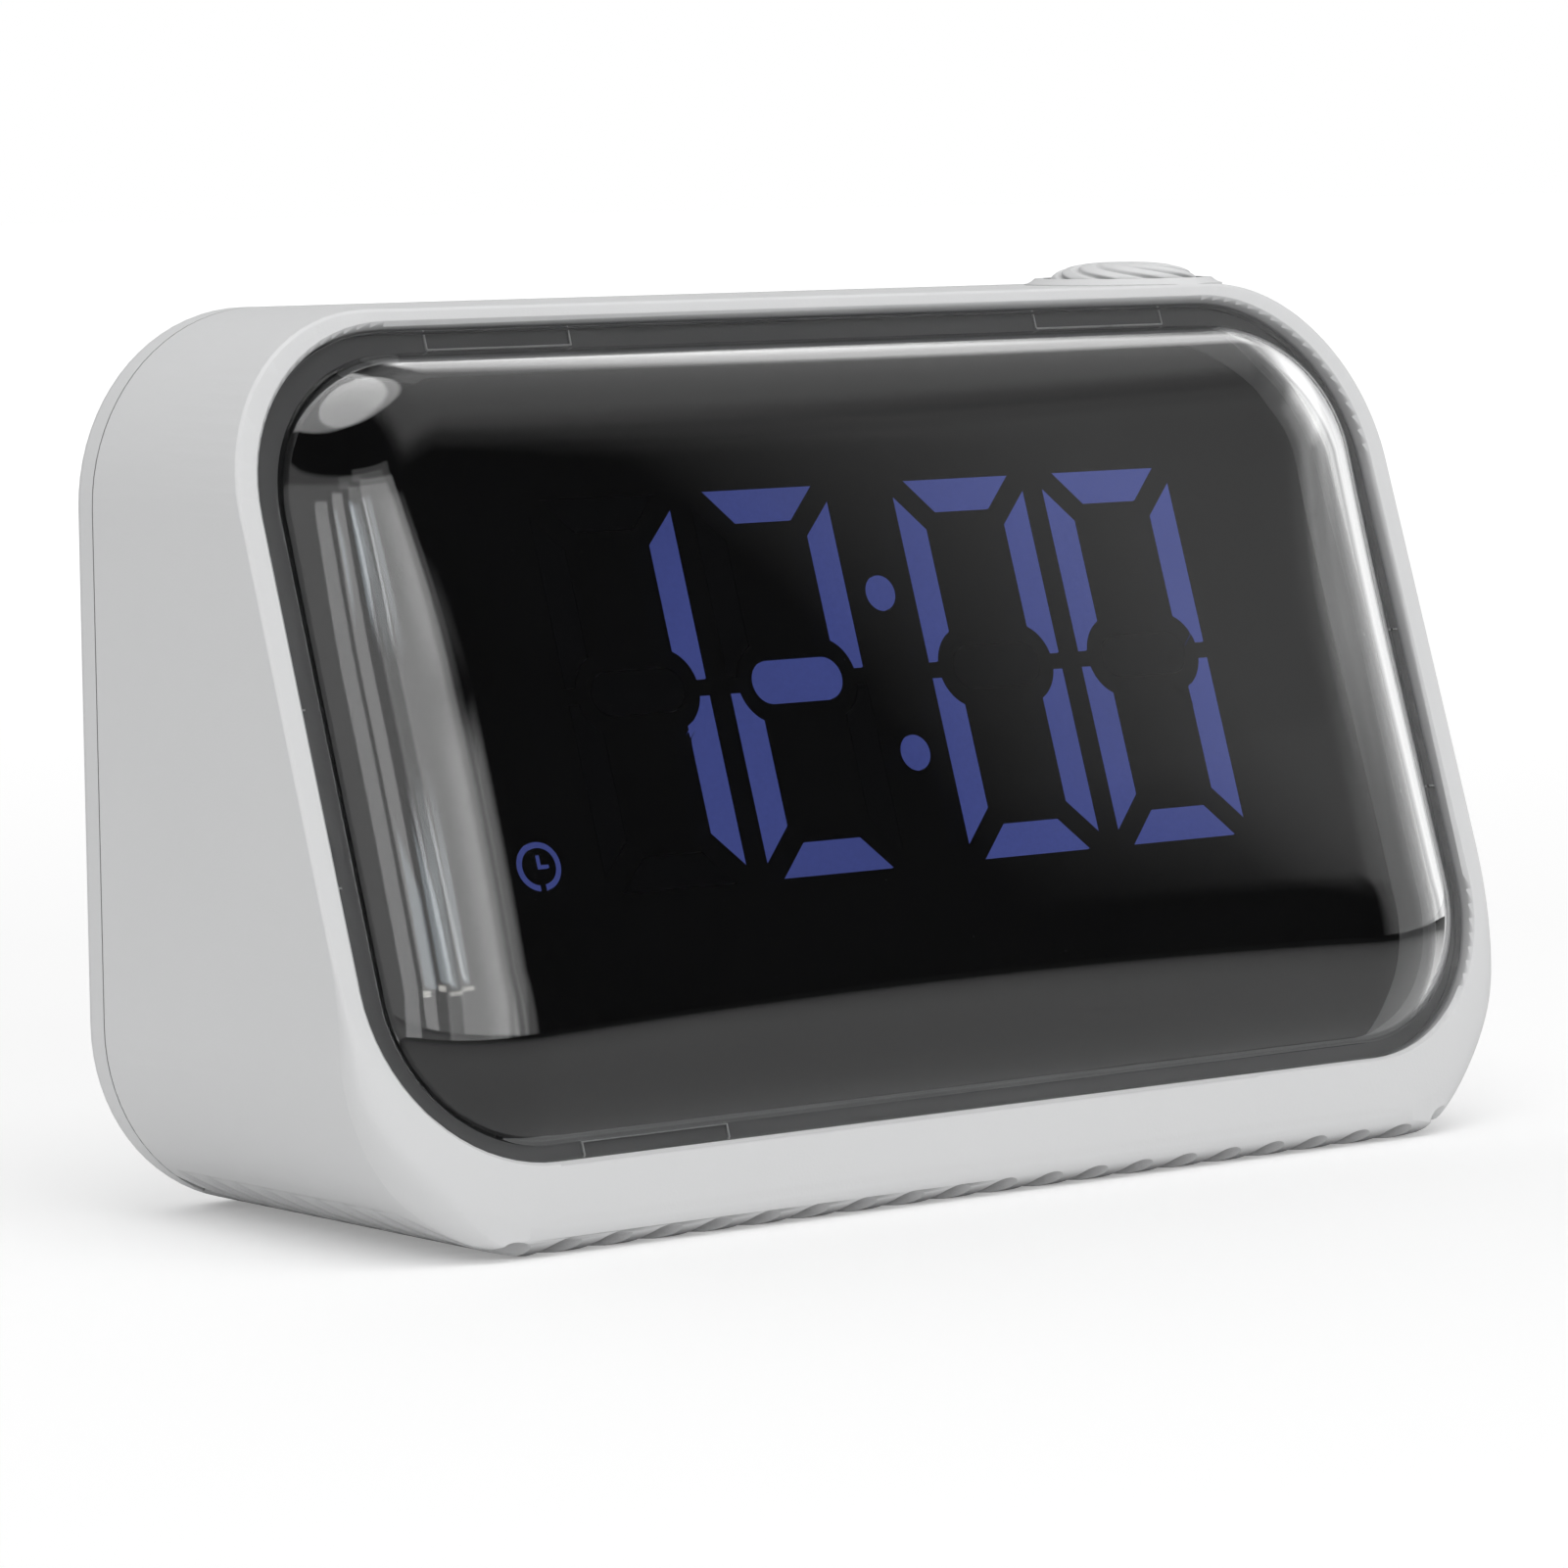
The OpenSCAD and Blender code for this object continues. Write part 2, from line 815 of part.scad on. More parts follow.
// flat-ended slot shape for the charging socket, grown by g
module usb_shape(g) {
    rrect(usb_width + 2 * g, usb_height + 2 * g, usb_height / 2 - 0.3 + g);
}

module usb_prism(g, y0, y1) {
    translate([usb_x, y1, port_z])
        rotate([90, 0, 0])
            linear_extrude(y1 - y0)
                usb_shape(g);
}

usb_wall = 0.3;
usb_back = main_y + board_thick + 0.8;
usb_mouth = back_y - 0.35;
tongue = [6.7, 5.4, 0.7];

module usb_socket_shell() {
    color([0.75, 0.75, 0.77])
    difference() {
        usb_prism(0, main_y + board_thick, usb_mouth);
        usb_prism(-usb_wall, usb_back, back_y);
    }
}

module usb_socket_tongue() {
    color([0.1, 0.1, 0.1])
    translate([usb_x - tongue[0] / 2, usb_back, port_z - tongue[2] / 2])
        cube(tongue);
}

// the slider's foot runs in the switch, and its lever comes out through the cover
foot_w = 3;
lever_w = 2.4;
slide_room = 2 * slider_travel;
foot_run = foot_w + slide_room + 0.2;
lever_run = lever_w + slide_room + 0.2;
cover_run = lever_w + slide_room + 0.8;
switch_y = [main_y + board_thick, main_y + board_thick + 3.4];
switch_high = 3.6;

module volume_switch_body() {
    body_w = foot_run + 1.8;
    color([0.12, 0.12, 0.12])
    difference() {
        translate([switch_x - body_w / 2, switch_y[0], port_z - switch_high / 2])
            cube([body_w, switch_y[1] - switch_y[0], switch_high]);
        translate([switch_x - foot_run / 2, switch_y[0] + 0.8, port_z - 1.1])
            cube([foot_run, 1.7, 2.2]);
        translate([switch_x - lever_run / 2, switch_y[0] + 1, port_z - 0.75])
            cube([lever_run, 6, 1.5]);
    }
}

module volume_slider() {
    color([0.2, 0.2, 0.2])
    union() {
        translate([switch_x - foot_w / 2, switch_y[0] + 0.9, port_z - 1])
            cube([foot_w, 1.5, 2]);
        translate([switch_x - lever_w / 2, switch_y[0] + 1, port_z - 0.65])
            cube([lever_w, back_y - 0.7 - switch_y[0] - 1, 1.3]);
    }
}

// the battery stands behind the main board's edge, beside its posts
battery_x = main_x[0] + 0.4 - battery_width;
battery_z = 6;

module battery() {
    color([0.72, 0.73, 0.75])
    translate([battery_x, seam_y - 0.1 - battery_thick, battery_z])
        pouch(battery_width, battery_thick, battery_height);
}

// flat cell with rounded long edges
module pouch(w, t, h) {
    linear_extrude(h)
        translate([w / 2, t / 2])
            rrect(w, t, 1.2);
}

plug = [4.4, 4.4, 5.6];
plug_wall = 0.6;
plug_at = [main_x[0] + 5.2, main_z[0] + 14.5];

module battery_connector() {
    color([0.93, 0.92, 0.86])
    difference() {
        translate([plug_at[0], main_y - plug[1], plug_at[1]])
            cube(plug);
        translate([plug_at[0] + plug_wall, main_y - plug[1] + plug_wall, plug_at[1] + 1])
            cube([plug[0] - 2 * plug_wall, plug[1] - 2 * plug_wall, plug[2]]);
    }
}

lead_r = 0.45;
lead_pitch = 1.4;

// two wires: up from the battery, across behind the boards, over the main board and down to the plug
module battery_lead() {
    color([0.7, 0.08, 0.06])
    for (i = [0, 1]) {
        start_x = battery_x + battery_width - 4 - i * lead_pitch;
        x = plug_at[0] + plug[0] / 2 + (i - 0.5) * lead_pitch;
        start_z = battery_z + battery_height + lead_r + 0.05;
        top = start_z + 0.8 + i * (lead_pitch - 0.1);
        y = seam_y - 3;
        over_z = main_z[1] + lead_r + 0.5;
        front_y = main_y - plug_wall - lead_r - 0.1;
        path = [
            [start_x, y, start_z],
            [start_x, y, top],
            [x, y, top],
            [x, y, over_z],
            [x, front_y, over_z],
            [x, front_y, plug_at[1] + 2]
        ];
        for (k = [0:len(path) - 2])
            bar(path[k], path[k + 1], lead_r);
    }
}

module at_magnets() {
    for (s = [-1, 1], z = [magnet_low, body_height - magnet_drop])
        translate([s * magnet_x, 0, z])
            children();
}

magnet_skin = 0.8;

module magnets() {
    color([0.6, 0.6, 0.63])
    at_magnets()
        rod_y(0, 0, magnet_radius, back_y - magnet_skin - magnet_thick, back_y - magnet_skin);
}

module rear_cover() {
    color([0.88, 0.88, 0.88])
    difference() {
        union() {
            section(0, seam_y, back_y - back_break);
            for (k = [1:3])
                section(-back_break * (1 - cos(k * 25)), seam_y,
                    back_y - back_break * (1 - sin(k * 25)));
            section(-back_break, seam_y, back_y);
            difference() {
                section(-wall - 0.1, seam_y - 2, seam_y);
                section(-wall - 1.3, seam_y - 3, seam_y);
                for (s = [-1, 1], z = boss_z)
                    rod_y(s * boss_x, z, boss_r + 0.4, seam_y - 3, seam_y);
                at_encoder_screws()
                    translate([0, 0, encoder_z[0]])
                        cylinder(h = 10, r = encoder_post_r + 0.4);
                translate([-body_width, -body_depth, 0])
                    cube([2 * body_width, 2 * body_depth, base_wall + 0.1]);
            }
            at_magnets()
                rod_y(0, 0, magnet_radius + holder_wall,
                    back_y - magnet_skin - magnet_thick - 0.4, seam_y + eps);
            for (p = main_posts)
                rod_y(p[0], p[1], post_r, main_y + board_thick, seam_y + eps);
            // rails above and below the battery
            for (z = [battery_z - 1.4, battery_z + battery_height + 0.2])
                translate([battery_x + 3, seam_y - 2.4, z])
                    cube([battery_width / 2, 2.4 + eps, 1.2]);
        }
        at_magnets()
            rod_y(0, 0, magnet_radius + 0.1, -body_depth, back_y - magnet_skin);
        for (p = main_posts)
            rod_y(p[0], p[1], small_r + pilot_gap, main_y, seam_y - 1);
        for (s = [-1, 1], z = boss_z) {
            rod_y(s * boss_x, z, screw_r + 0.2, seam_y - 5, back_y + 1);
            rod_y(s * boss_x, z, 2.2, back_y - 1.3, back_y + 1);
        }
        usb_prism(0.3, seam_y - 5, back_y + 1);
        translate([switch_x - cover_run / 2, seam_y - 5, port_z - 1])
            cube([cover_run, 12, 2]);
        translate([switch_x, back_y + eps, port_z])
            rotate([90, 0, 0])
                linear_extrude(0.7)
                    rrect(cover_run + 2.6, 4, 1);
        for (i = [-2:2])
            rod_y(-8 + 2.6 * i, 41, 0.7, seam_y - 1, back_y + 1);
    }
}

module cover_screws() {
    color([0.7, 0.7, 0.72])
    for (s = [-1, 1], i = [0, 1])
        difference() {
            union() {
                rod_y(s * boss_x, boss_z[i], screw_r, seam_y - 6.5, back_y - 1);
                rod_y(s * boss_x, boss_z[i], 1.9, back_y - 1.3, back_y - 0.3);
            }
            translate([s * boss_x, back_y - 0.8, boss_z[i]])
                for (a = [0, 90])
                    rotate([0, a, 0])
                        translate([-1.2, 0, -0.25])
                            cube([2.4, 1, 0.5]);
        }
}

module encoder_board() {
    color([0.05, 0.3, 0.16])
    difference() {
        translate([
            knob_x + encoder_board_x[0], knob_y + encoder_board_y[0], encoder_z[0] - encoder_board_thick
        ])
            cube([
                encoder_board_x[1] - encoder_board_x[0],
                encoder_board_y[1] - encoder_board_y[0],
                encoder_board_thick
            ]);
        at_encoder_screws()
            translate([0, 0, encoder_z[0] - 2])
                cylinder(h = 4, r = small_hole);
    }
}

module encoder_screws() {
    color([0.7, 0.7, 0.72])
    at_encoder_screws()
        translate([0, 0, encoder_z[0] - encoder_board_thick])
            rotate([180, 0, 0])
                small_screw(encoder_board_thick + 3);
}

module encoder_body() {
    color([0.55, 0.56, 0.58])
    translate([knob_x, knob_y, 0])
        difference() {
            union() {
                translate([-encoder_w / 2, -encoder_w / 2, encoder_z[0]])
                    cube([encoder_w, encoder_w, encoder_z[1] - encoder_z[0]]);
                translate([0, 0, encoder_z[1] - eps])
                    cylinder(h = bush_high + eps, r = shaft_r + 0.9);
            }
            translate([0, 0, bore_floor])
                cylinder(h = 10, r = shaft_r + running_gap);
        }
}

module encoder_plunger() {
    color([0.9, 0.88, 0.8])
    translate([knob_x, knob_y, plunger_z])
        cylinder(h = plunger_thick, r = shaft_r);
}

module encoder_shaft() {
    color([0.75, 0.75, 0.77])
    translate([knob_x, knob_y, 0])
        difference() {
            translate([0, 0, shaft_z[0]])
                cylinder(h = shaft_z[1] - shaft_z[0], r = shaft_r);
            translate([-5, shaft_flat, flat_z])
                cube([10, 5, 5]);
        }
}

// half section of the knob cap, from the axis outwards
module cap_profile() {
    top = body_height + knob_rise - cap_z;
    difference() {
        union() {
            square([knob_radius, cap_edge]);
            square([cap_crown, top]);
            intersection() {
                translate([cap_crown, top - cap_curve])
                    circle(cap_curve);
                square([knob_radius, top]);
            }
        }
        translate([knob_radius, cap_edge + cap_hollow])
            circle(cap_hollow);
    }
}

module control_knob() {
    stem_z = encoder_z[1] + bush_high + press_room;
    color([0.9, 0.9, 0.9])
    translate([knob_x, knob_y, 0])
        difference() {
            union() {
                translate([0, 0, cap_z])
                    rotate_extrude()
                        cap_profile();
                translate([0, 0, stem_z])
                    cylinder(h = cap_z + 0.5 - stem_z, r = stem_r);
            }
            difference() {
                translate([0, 0, encoder_z[1]])
                    cylinder(h = shaft_z[1] + 0.05 - encoder_z[1], r = shaft_r + fit_gap);
                translate([-5, shaft_flat + fit_gap, flat_z + 0.1])
                    cube([10, 5, 5]);
            }
            for (i = [0:knob_flutes - 1])
                rotate([0, 0, i * 360 / knob_flutes])
                    translate([3.7, 0, cap_z + 1.75])
                        rotate([0, 0, -groove_turn])
                            rotate([0, groove_lean, 0])
                                translate([0, 0, -1.5])
                                    cylinder(h = 7, r = groove_r, $fn = 16);
        }
}

front_shell();
rear_cover();
lens();
inner_frame();
display_panel();
lit_segments();
unlit_segments();
light_guide();
display_board();
segment_leds();
display_board_screws();
main_board();
controller_chip();
buzzer();
usb_socket_shell();
usb_socket_tongue();
volume_switch_body();
volume_slider();
battery();
battery_connector();
battery_lead();
magnets();
cover_screws();
main_board_screws();
encoder_board();
encoder_screws();
encoder_body();
encoder_plunger();
encoder_shaft();
control_knob();
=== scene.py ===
import math

import bmesh
import bpy
from mathutils import Matrix, Vector
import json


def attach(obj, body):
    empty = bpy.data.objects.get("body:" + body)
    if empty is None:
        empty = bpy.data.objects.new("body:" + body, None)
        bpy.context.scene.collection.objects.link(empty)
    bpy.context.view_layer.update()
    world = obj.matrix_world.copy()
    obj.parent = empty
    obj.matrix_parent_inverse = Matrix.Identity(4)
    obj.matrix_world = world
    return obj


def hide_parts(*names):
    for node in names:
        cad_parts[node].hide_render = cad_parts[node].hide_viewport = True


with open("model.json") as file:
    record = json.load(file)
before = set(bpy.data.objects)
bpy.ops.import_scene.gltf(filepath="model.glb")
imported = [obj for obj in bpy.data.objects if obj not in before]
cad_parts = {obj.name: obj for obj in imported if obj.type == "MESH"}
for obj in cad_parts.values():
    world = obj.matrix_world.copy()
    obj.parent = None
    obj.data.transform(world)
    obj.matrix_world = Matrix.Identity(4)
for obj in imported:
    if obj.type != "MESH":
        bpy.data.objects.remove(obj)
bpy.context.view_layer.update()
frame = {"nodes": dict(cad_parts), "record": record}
nodes = frame["nodes"]
print("frame loaded")


# camera, fitted to the photograph's outline

camera = {
    "place": (-0.28707, -0.36158, 0.07035),
    "yaw": 0.6632,
    "pitch": 0.0939,
    "roll": -0.0135,
    "lens": 154.33,
    "sensor": 36,
    "clip": (0.01, 20),
}


def newObject(name, data):
    obj = bpy.data.objects.new(name, data)
    bpy.context.scene.collection.objects.link(obj)
    return obj


def makeCamera(v):
    sy, cy = math.sin(v["yaw"]), math.cos(v["yaw"])
    sp, cp = math.sin(v["pitch"]), math.cos(v["pitch"])
    ahead = Vector((sy * cp, cy * cp, -sp))
    right = Vector((cy, -sy, 0))
    up = right.cross(ahead)
    cr, sr = math.cos(v["roll"]), math.sin(v["roll"])
    right, up = cr * right + sr * up, cr * up - sr * right
    turn = Matrix((right, up, -ahead)).transposed().to_4x4()
    data = bpy.data.cameras.new("Camera")
    data.lens = v["lens"]
    data.sensor_width = v["sensor"]
    data.clip_start, data.clip_end = v["clip"]
    obj = newObject("Camera", data)
    obj.matrix_world = Matrix.Translation(v["place"]) @ turn
    bpy.context.scene.camera = obj


makeCamera(camera)
bpy.context.scene.view_settings.view_transform = "Standard"
print("camera placed")


# materials


class Tree:
    # a short way to write a node tree
    def __init__(self, owner):
        owner.use_nodes = True
        self.tree = owner.node_tree
        self.tree.nodes.clear()

    def add(self, kind, sets=None, **inputs):
        node = self.tree.nodes.new(kind)
        for key, value in (sets or {}).items():
            setattr(node, key, value)
        for key, value in inputs.items():
            self.put(node, key.replace("_", " "), value)
        return node

    def put(self, node, key, value):
        socket = node.inputs[int(key) if key.isdigit() else key]
        if isinstance(value, bpy.types.NodeSocket):
            self.tree.links.new(value, socket)
        elif isinstance(value, bpy.types.Node):
            self.tree.links.new(value.outputs[0], socket)
        else:
            socket.default_value = value

    def maths(self, operation, a, b=0.0):
        node = self.tree.nodes.new("ShaderNodeMath")
        node.operation = operation
        self.put(node, "0", a)
        self.put(node, "1", b)
        return node.outputs[0]

    def ramp(self, value, low, high, toLow, toHigh):
        node = self.tree.nodes.new("ShaderNodeMapRange")
        for key, part in zip(range(5), (value, low, high, toLow, toHigh)):
            self.put(node, str(key), part)
        return node.outputs[0]

    def noise(self, place, scale, detail=3.0, rough=0.55):
        node = self.tree.nodes.new("ShaderNodeTexNoise")
        self.put(node, "Vector", place)
        self.put(node, "Scale", scale)
        self.put(node, "Detail", detail)
        self.put(node, "Roughness", rough)
        return node.outputs[0]

    def blend(self, factor, a, b):
        node = self.tree.nodes.new("ShaderNodeMix")
        node.data_type = "RGBA"
        self.put(node, "Factor", factor)
        for key, part in (("6", a), ("7", b)):
            self.put(node, key, part)
        return node.outputs[2]

    def bump(self, height, strength, distance, normal=None):
        node = self.tree.nodes.new("ShaderNodeBump")
        self.put(node, "Height", height)
        self.put(node, "Strength", strength)
        self.put(node, "Distance", distance)
        if normal:
            self.put(node, "Normal", normal)
        return node.outputs[0]

    def place(self):
        return self.add("ShaderNodeTexCoord").outputs["Object"]

    def finish(self, shader):
        out = self.tree.nodes.new("ShaderNodeOutputMaterial")
        self.put(out, "Surface", shader)


def rgb(r, g, b):
    return (r, g, b, 1.0)


# what all moulded plastics share
moulding = {
    "mottle": (0.3, 0.7),
    "spread": 0.05,
    "roughGrain": 0.3,
    "edge": 0.0001,
    "relief": 0.0001,
    "scatter": (0.001, 0.001, 0.001),
    "open": (0.25, 0.95),
    "shine": 0.4,
    "bends": 1.5,
}
# what all metals share
drawing = {"mottle": (0.3, 0.7), "spread": (0.06, 0.1), "spots": 0.2, "bump": 0.15, "relief": 0.00005}


def plasticMaterial(name, v):
    # moulded plastic: a fine sparked grain, slow waviness and, where asked, faint painted shade in recesses
    mat = bpy.data.materials.new(name)
    t = Tree(mat)
    place = t.place()
    grain = t.noise(place, v["grain"], 3.0, 0.6)
    cloud = t.noise(place, v["cloud"], 4.0)
    colour = t.blend(t.ramp(cloud, *moulding["mottle"], 0.0, 1.0), rgb(*v["dark"]), rgb(*v["light"]))
    if "shadeReach" in v:
        # painted shade: grooves, seams and recesses are darkened towards grey by ambient occlusion
        nearby = t.add("ShaderNodeAmbientOcclusion", {"samples": 8}, Distance=v["shadeReach"])
        paintedShade = t.ramp(nearby.outputs["AO"], *moulding["open"], 1.0, 0.0)
        colour = t.blend(paintedShade, colour, rgb(*v["shadeGrey"]))
    low, high = v["rough"] - moulding["spread"], v["rough"] + moulding["spread"]
    rough = t.ramp(t.noise(place, v["grain"] * moulding["roughGrain"], 4.0), *moulding["mottle"], low, high)
    edge = t.add("ShaderNodeBevel", {"samples": 6}, Radius=moulding["edge"])
    shader = t.add("ShaderNodeBsdfPrincipled", IOR=moulding["bends"])
    t.put(shader, "Base Color", colour)
    t.put(shader, "Roughness", rough)
    t.put(shader, "Specular IOR Level", v.get("shine", moulding["shine"]))
    t.put(shader, "Subsurface Weight", v.get("depth", 0.0))
    t.put(shader, "Subsurface Radius", moulding["scatter"])
    t.put(shader, "Normal", t.bump(grain, v["bump"], moulding["relief"], edge))
    t.finish(shader)
    return mat


def metalMaterial(name, v):
    mat = bpy.data.materials.new(name)
    t = Tree(mat)
    place = t.place()
    stretched = t.add("ShaderNodeMapping", Vector=place, Scale=v["stretch"])
    lines = t.noise(stretched, v["grain"], 4.0)
    spots = t.noise(place, v["grain"] * drawing["spots"], 3.0)
    low, high = v["rough"] - drawing["spread"][0], v["rough"] + drawing["spread"][1]
    shader = t.add("ShaderNodeBsdfPrincipled", Metallic=1.0)
    t.put(shader, "Base Color", t.blend(spots, rgb(*v["dark"]), rgb(*v["light"])))
    t.put(shader, "Roughness", t.ramp(lines, *drawing["mottle"], low, high))
    t.put(shader, "Normal", t.bump(lines, drawing["bump"], drawing["relief"]))
    t.finish(shader)
    return mat


boardGreen = {
    "traces": 260.0,
    "gap": 0.03,
    "mask": (0.01, 0.11, 0.045),
    "copper": (0.025, 0.2, 0.08),
    "stain": (0.015, 0.15, 0.06),
    "stains": 900.0,
    "stained": (0.4, 0.8, 0.0, 0.4),
    "rough": 0.35,
    "bump": 0.2,
    "relief": 0.00005,
}


def boardMaterial(v):
    # solder mask over copper traces
    mat = bpy.data.materials.new("boardGreen")
    t = Tree(mat)
    place = t.place()
    brick = t.add("ShaderNodeTexBrick", Vector=place, Scale=v["traces"])
    t.put(brick, "Mortar Size", v["gap"])
    cloud = t.noise(place, v["stains"], 3.0)
    base = t.blend(brick.outputs["Fac"], rgb(*v["mask"]), rgb(*v["copper"]))
    shader = t.add("ShaderNodeBsdfPrincipled", Roughness=v["rough"])
    t.put(shader, "Base Color", t.blend(t.ramp(cloud, *v["stained"]), base, rgb(*v["stain"])))
    t.put(shader, "Normal", t.bump(brick.outputs["Fac"], v["bump"], v["relief"]))
    t.finish(shader)
    return mat


lensPlastic = {
    "tint": (0.985, 0.99, 0.99),
    "shadow": (0.93, 0.94, 0.94),
    "haze": 60.0,
    "rough": (0.4, 0.8, 0.0, 0.015),
    "bends": 1.49,
}


def lensMaterial(v):
    # clear polished plastic that lets shadow rays by, with a faint haze of dust
    mat = bpy.data.materials.new("lensClear")
    t = Tree(mat)
    haze = t.noise(t.place(), v["haze"], 4.0)
    shader = t.add("ShaderNodeBsdfPrincipled", IOR=v["bends"])
    t.put(shader, "Base Color", rgb(*v["tint"]))
    t.put(shader, "Transmission Weight", 1.0)
    t.put(shader, "Roughness", t.ramp(haze, *v["rough"]))
    clear = t.add("ShaderNodeBsdfTransparent", Color=rgb(*v["shadow"]))
    path = t.add("ShaderNodeLightPath")
    mix = t.add("ShaderNodeMixShader")
    t.put(mix, "0", path.outputs["Is Shadow Ray"])
    t.put(mix, "1", shader)
    t.put(mix, "2", clear)
    t.finish(mix)
    return mat


panelInk = {
    "black": (0.001, 0.001, 0.0012),
    "dust": (0.05, 0.05, 0.055),
    "dusty": (0.8, 0.86, 0.0, 0.5),
    "specks": 2200.0,
    "patches": 150.0,
    "rough": (0.3, 0.7, 0.32, 0.4),
    "shine": 0.04,
}


def panelMaterial(v):
    # matt black ink with a few specks
    mat = bpy.data.materials.new("panelBlack")
    t = Tree(mat)
    place = t.place()
    dust = t.ramp(t.noise(place, v["specks"], 1.0), *v["dusty"])
    shader = t.add("ShaderNodeBsdfPrincipled")
    t.put(shader, "Base Color", t.blend(dust, rgb(*v["black"]), rgb(*v["dust"])))
    t.put(shader, "Roughness", t.ramp(t.noise(place, v["patches"]), *v["rough"]))
    t.put(shader, "Specular IOR Level", v["shine"])
    t.finish(shader)
    return mat


# what the lit and the dark segments share
diffuser = {
    "speck": 2600.0,
    "speckled": (0.3, 0.7, 0.94, 1.06),
    "slow": 55.0,
    "clouded": (0.3, 0.7, 0.92, 1.08),
    "ends": (-0.025, 0.032),
    "rough": 0.36,
    "shine": 0.04,
}


def segmentMaterial(name, v):
    # a printed diffuser over a light: even, with a fine speckle, and a little stronger to the right
    mat = bpy.data.materials.new(name)
    t = Tree(mat)
    place = t.place()
    speck = t.noise(place, diffuser["speck"], 4.0, 0.7)
    slow = t.noise(place, diffuser["slow"], 2.0)
    level = t.maths("MULTIPLY", t.ramp(speck, *diffuser["speckled"]), t.ramp(slow, *diffuser["clouded"]))
    across = t.add("ShaderNodeSeparateXYZ", Vector=place).outputs["X"]
    level = t.maths("MULTIPLY", level, t.ramp(across, *diffuser["ends"], *v["levels"]))
    shader = t.add("ShaderNodeBsdfPrincipled", Roughness=diffuser["rough"])
    t.put(shader, "Specular IOR Level", diffuser["shine"])
    t.put(shader, "Base Color", rgb(*v["base"]))
    t.put(shader, "Emission Color", rgb(*v["glow"]))
    t.put(shader, "Emission Strength", level)
    t.finish(shader)
    return mat


# white plastic of the shell and knob; its last two values paint shade into grooves, seams and recesses (how
# near, and how grey)
white = {
    "grain": 5200.0, "cloud": 18.0, "dark": (0.775, 0.78, 0.785), "light": (0.8, 0.803, 0.808), "rough": 0.5,
    "bump": 0.1, "shine": 0.35, "depth": 0.03, "shadeReach": 0.0013, "shadeGrey": (0.3, 0.3, 0.305),
}
darkPlastic = {
    "grain": 4000.0, "cloud": 40.0, "dark": (0.02, 0.02, 0.021), "light": (0.03, 0.03, 0.031), "rough": 0.45,
    "bump": 0.15,
}
ivoryPlastic = {
    "grain": 4000.0, "cloud": 40.0, "dark": (0.72, 0.69, 0.58), "light": (0.78, 0.75, 0.64), "rough": 0.4,
    "bump": 0.1,
}
wireRed = {
    "grain": 3000.0, "cloud": 60.0, "dark": (0.42, 0.02, 0.015), "light": (0.5, 0.03, 0.02), "rough": 0.42,
    "bump": 0.1,
}
chipGrey = {
    "grain": 5000.0, "cloud": 80.0, "dark": (0.03, 0.03, 0.033), "light": (0.045, 0.045, 0.05), "rough": 0.5,
    "bump": 0.2,
}
frameGrey = {
    "grain": 5200.0, "cloud": 30.0, "dark": (0.15, 0.15, 0.151), "light": (0.175, 0.175, 0.176), "rough": 0.5,
    "bump": 0.1, "shine": 0.15,
}
# light grey of the tab outlines: a painted highlight along the tabs' edges
tabHighlightGrey = {
    "grain": 5200.0, "cloud": 60.0, "dark": (0.42, 0.42, 0.42), "light": (0.5, 0.5, 0.5), "rough": 0.3,
    "bump": 0.1, "shine": 0.5,
}
ledBody = {
    "grain": 3000.0, "cloud": 90.0, "dark": (0.75, 0.71, 0.45), "light": (0.8, 0.77, 0.55), "rough": 0.3,
    "bump": 0.05,
}
litValues = {"glow": (0.045, 0.06, 0.22), "levels": (0.86, 1.12), "base": (0.002, 0.002, 0.003)}
darkValues = {"glow": (0.1, 0.12, 0.3), "levels": (0.0008, 0.0008), "base": (0.001, 0.001, 0.0012)}
zinc = {
    "grain": 900.0, "stretch": (1.0, 1.0, 6.0), "dark": (0.5, 0.5, 0.52), "light": (0.66, 0.66, 0.68),
    "rough": 0.32,
}
bright = {
    "grain": 1200.0, "stretch": (1.0, 8.0, 1.0), "dark": (0.64, 0.64, 0.66), "light": (0.78, 0.78, 0.8),
    "rough": 0.26,
}
foil = {
    "grain": 500.0, "stretch": (5.0, 1.0, 1.0), "dark": (0.62, 0.63, 0.65), "light": (0.74, 0.75, 0.77),
    "rough": 0.38,
}
nickel = {
    "grain": 400.0, "stretch": (1.0, 1.0, 1.0), "dark": (0.55, 0.54, 0.52), "light": (0.68, 0.67, 0.65),
    "rough": 0.16,
}

finishes = {
    "white_plastic": plasticMaterial("shellWhite", white),
    "clear_plastic": lensMaterial(lensPlastic),
    "black_panel": panelMaterial(panelInk),
    "lit_diffuser": segmentMaterial("segmentLit", litValues),
    "dark_diffuser": segmentMaterial("segmentDark", darkValues),
    "black_plastic": plasticMaterial("plasticBlack", darkPlastic),
    "green_board": boardMaterial(boardGreen),
    "led_package": plasticMaterial("ledBody", ledBody),
    "zinc_steel": metalMaterial("zincSteel", zinc),
    "chip_resin": plasticMaterial("chipResin", chipGrey),
    "bright_steel": metalMaterial("brightSteel", bright),
    "foil": metalMaterial("foilSilver", foil),
    "ivory_plastic": plasticMaterial("plasticIvory", ivoryPlastic),
    "red_wire": plasticMaterial("wireRed", wireRed),
    "nickel_magnet": metalMaterial("magnetNickel", nickel),
}


def paint(obj, mat):
    if obj.material_slots:
        for slot in obj.material_slots:
            slot.material = mat
    else:
        obj.data.materials.append(mat)


for part in frame["record"]["subparts"]:
    paint(nodes[part["node"]], finishes[part["material_slot"]])
frameFinish = plasticMaterial("frameGrey", frameGrey)
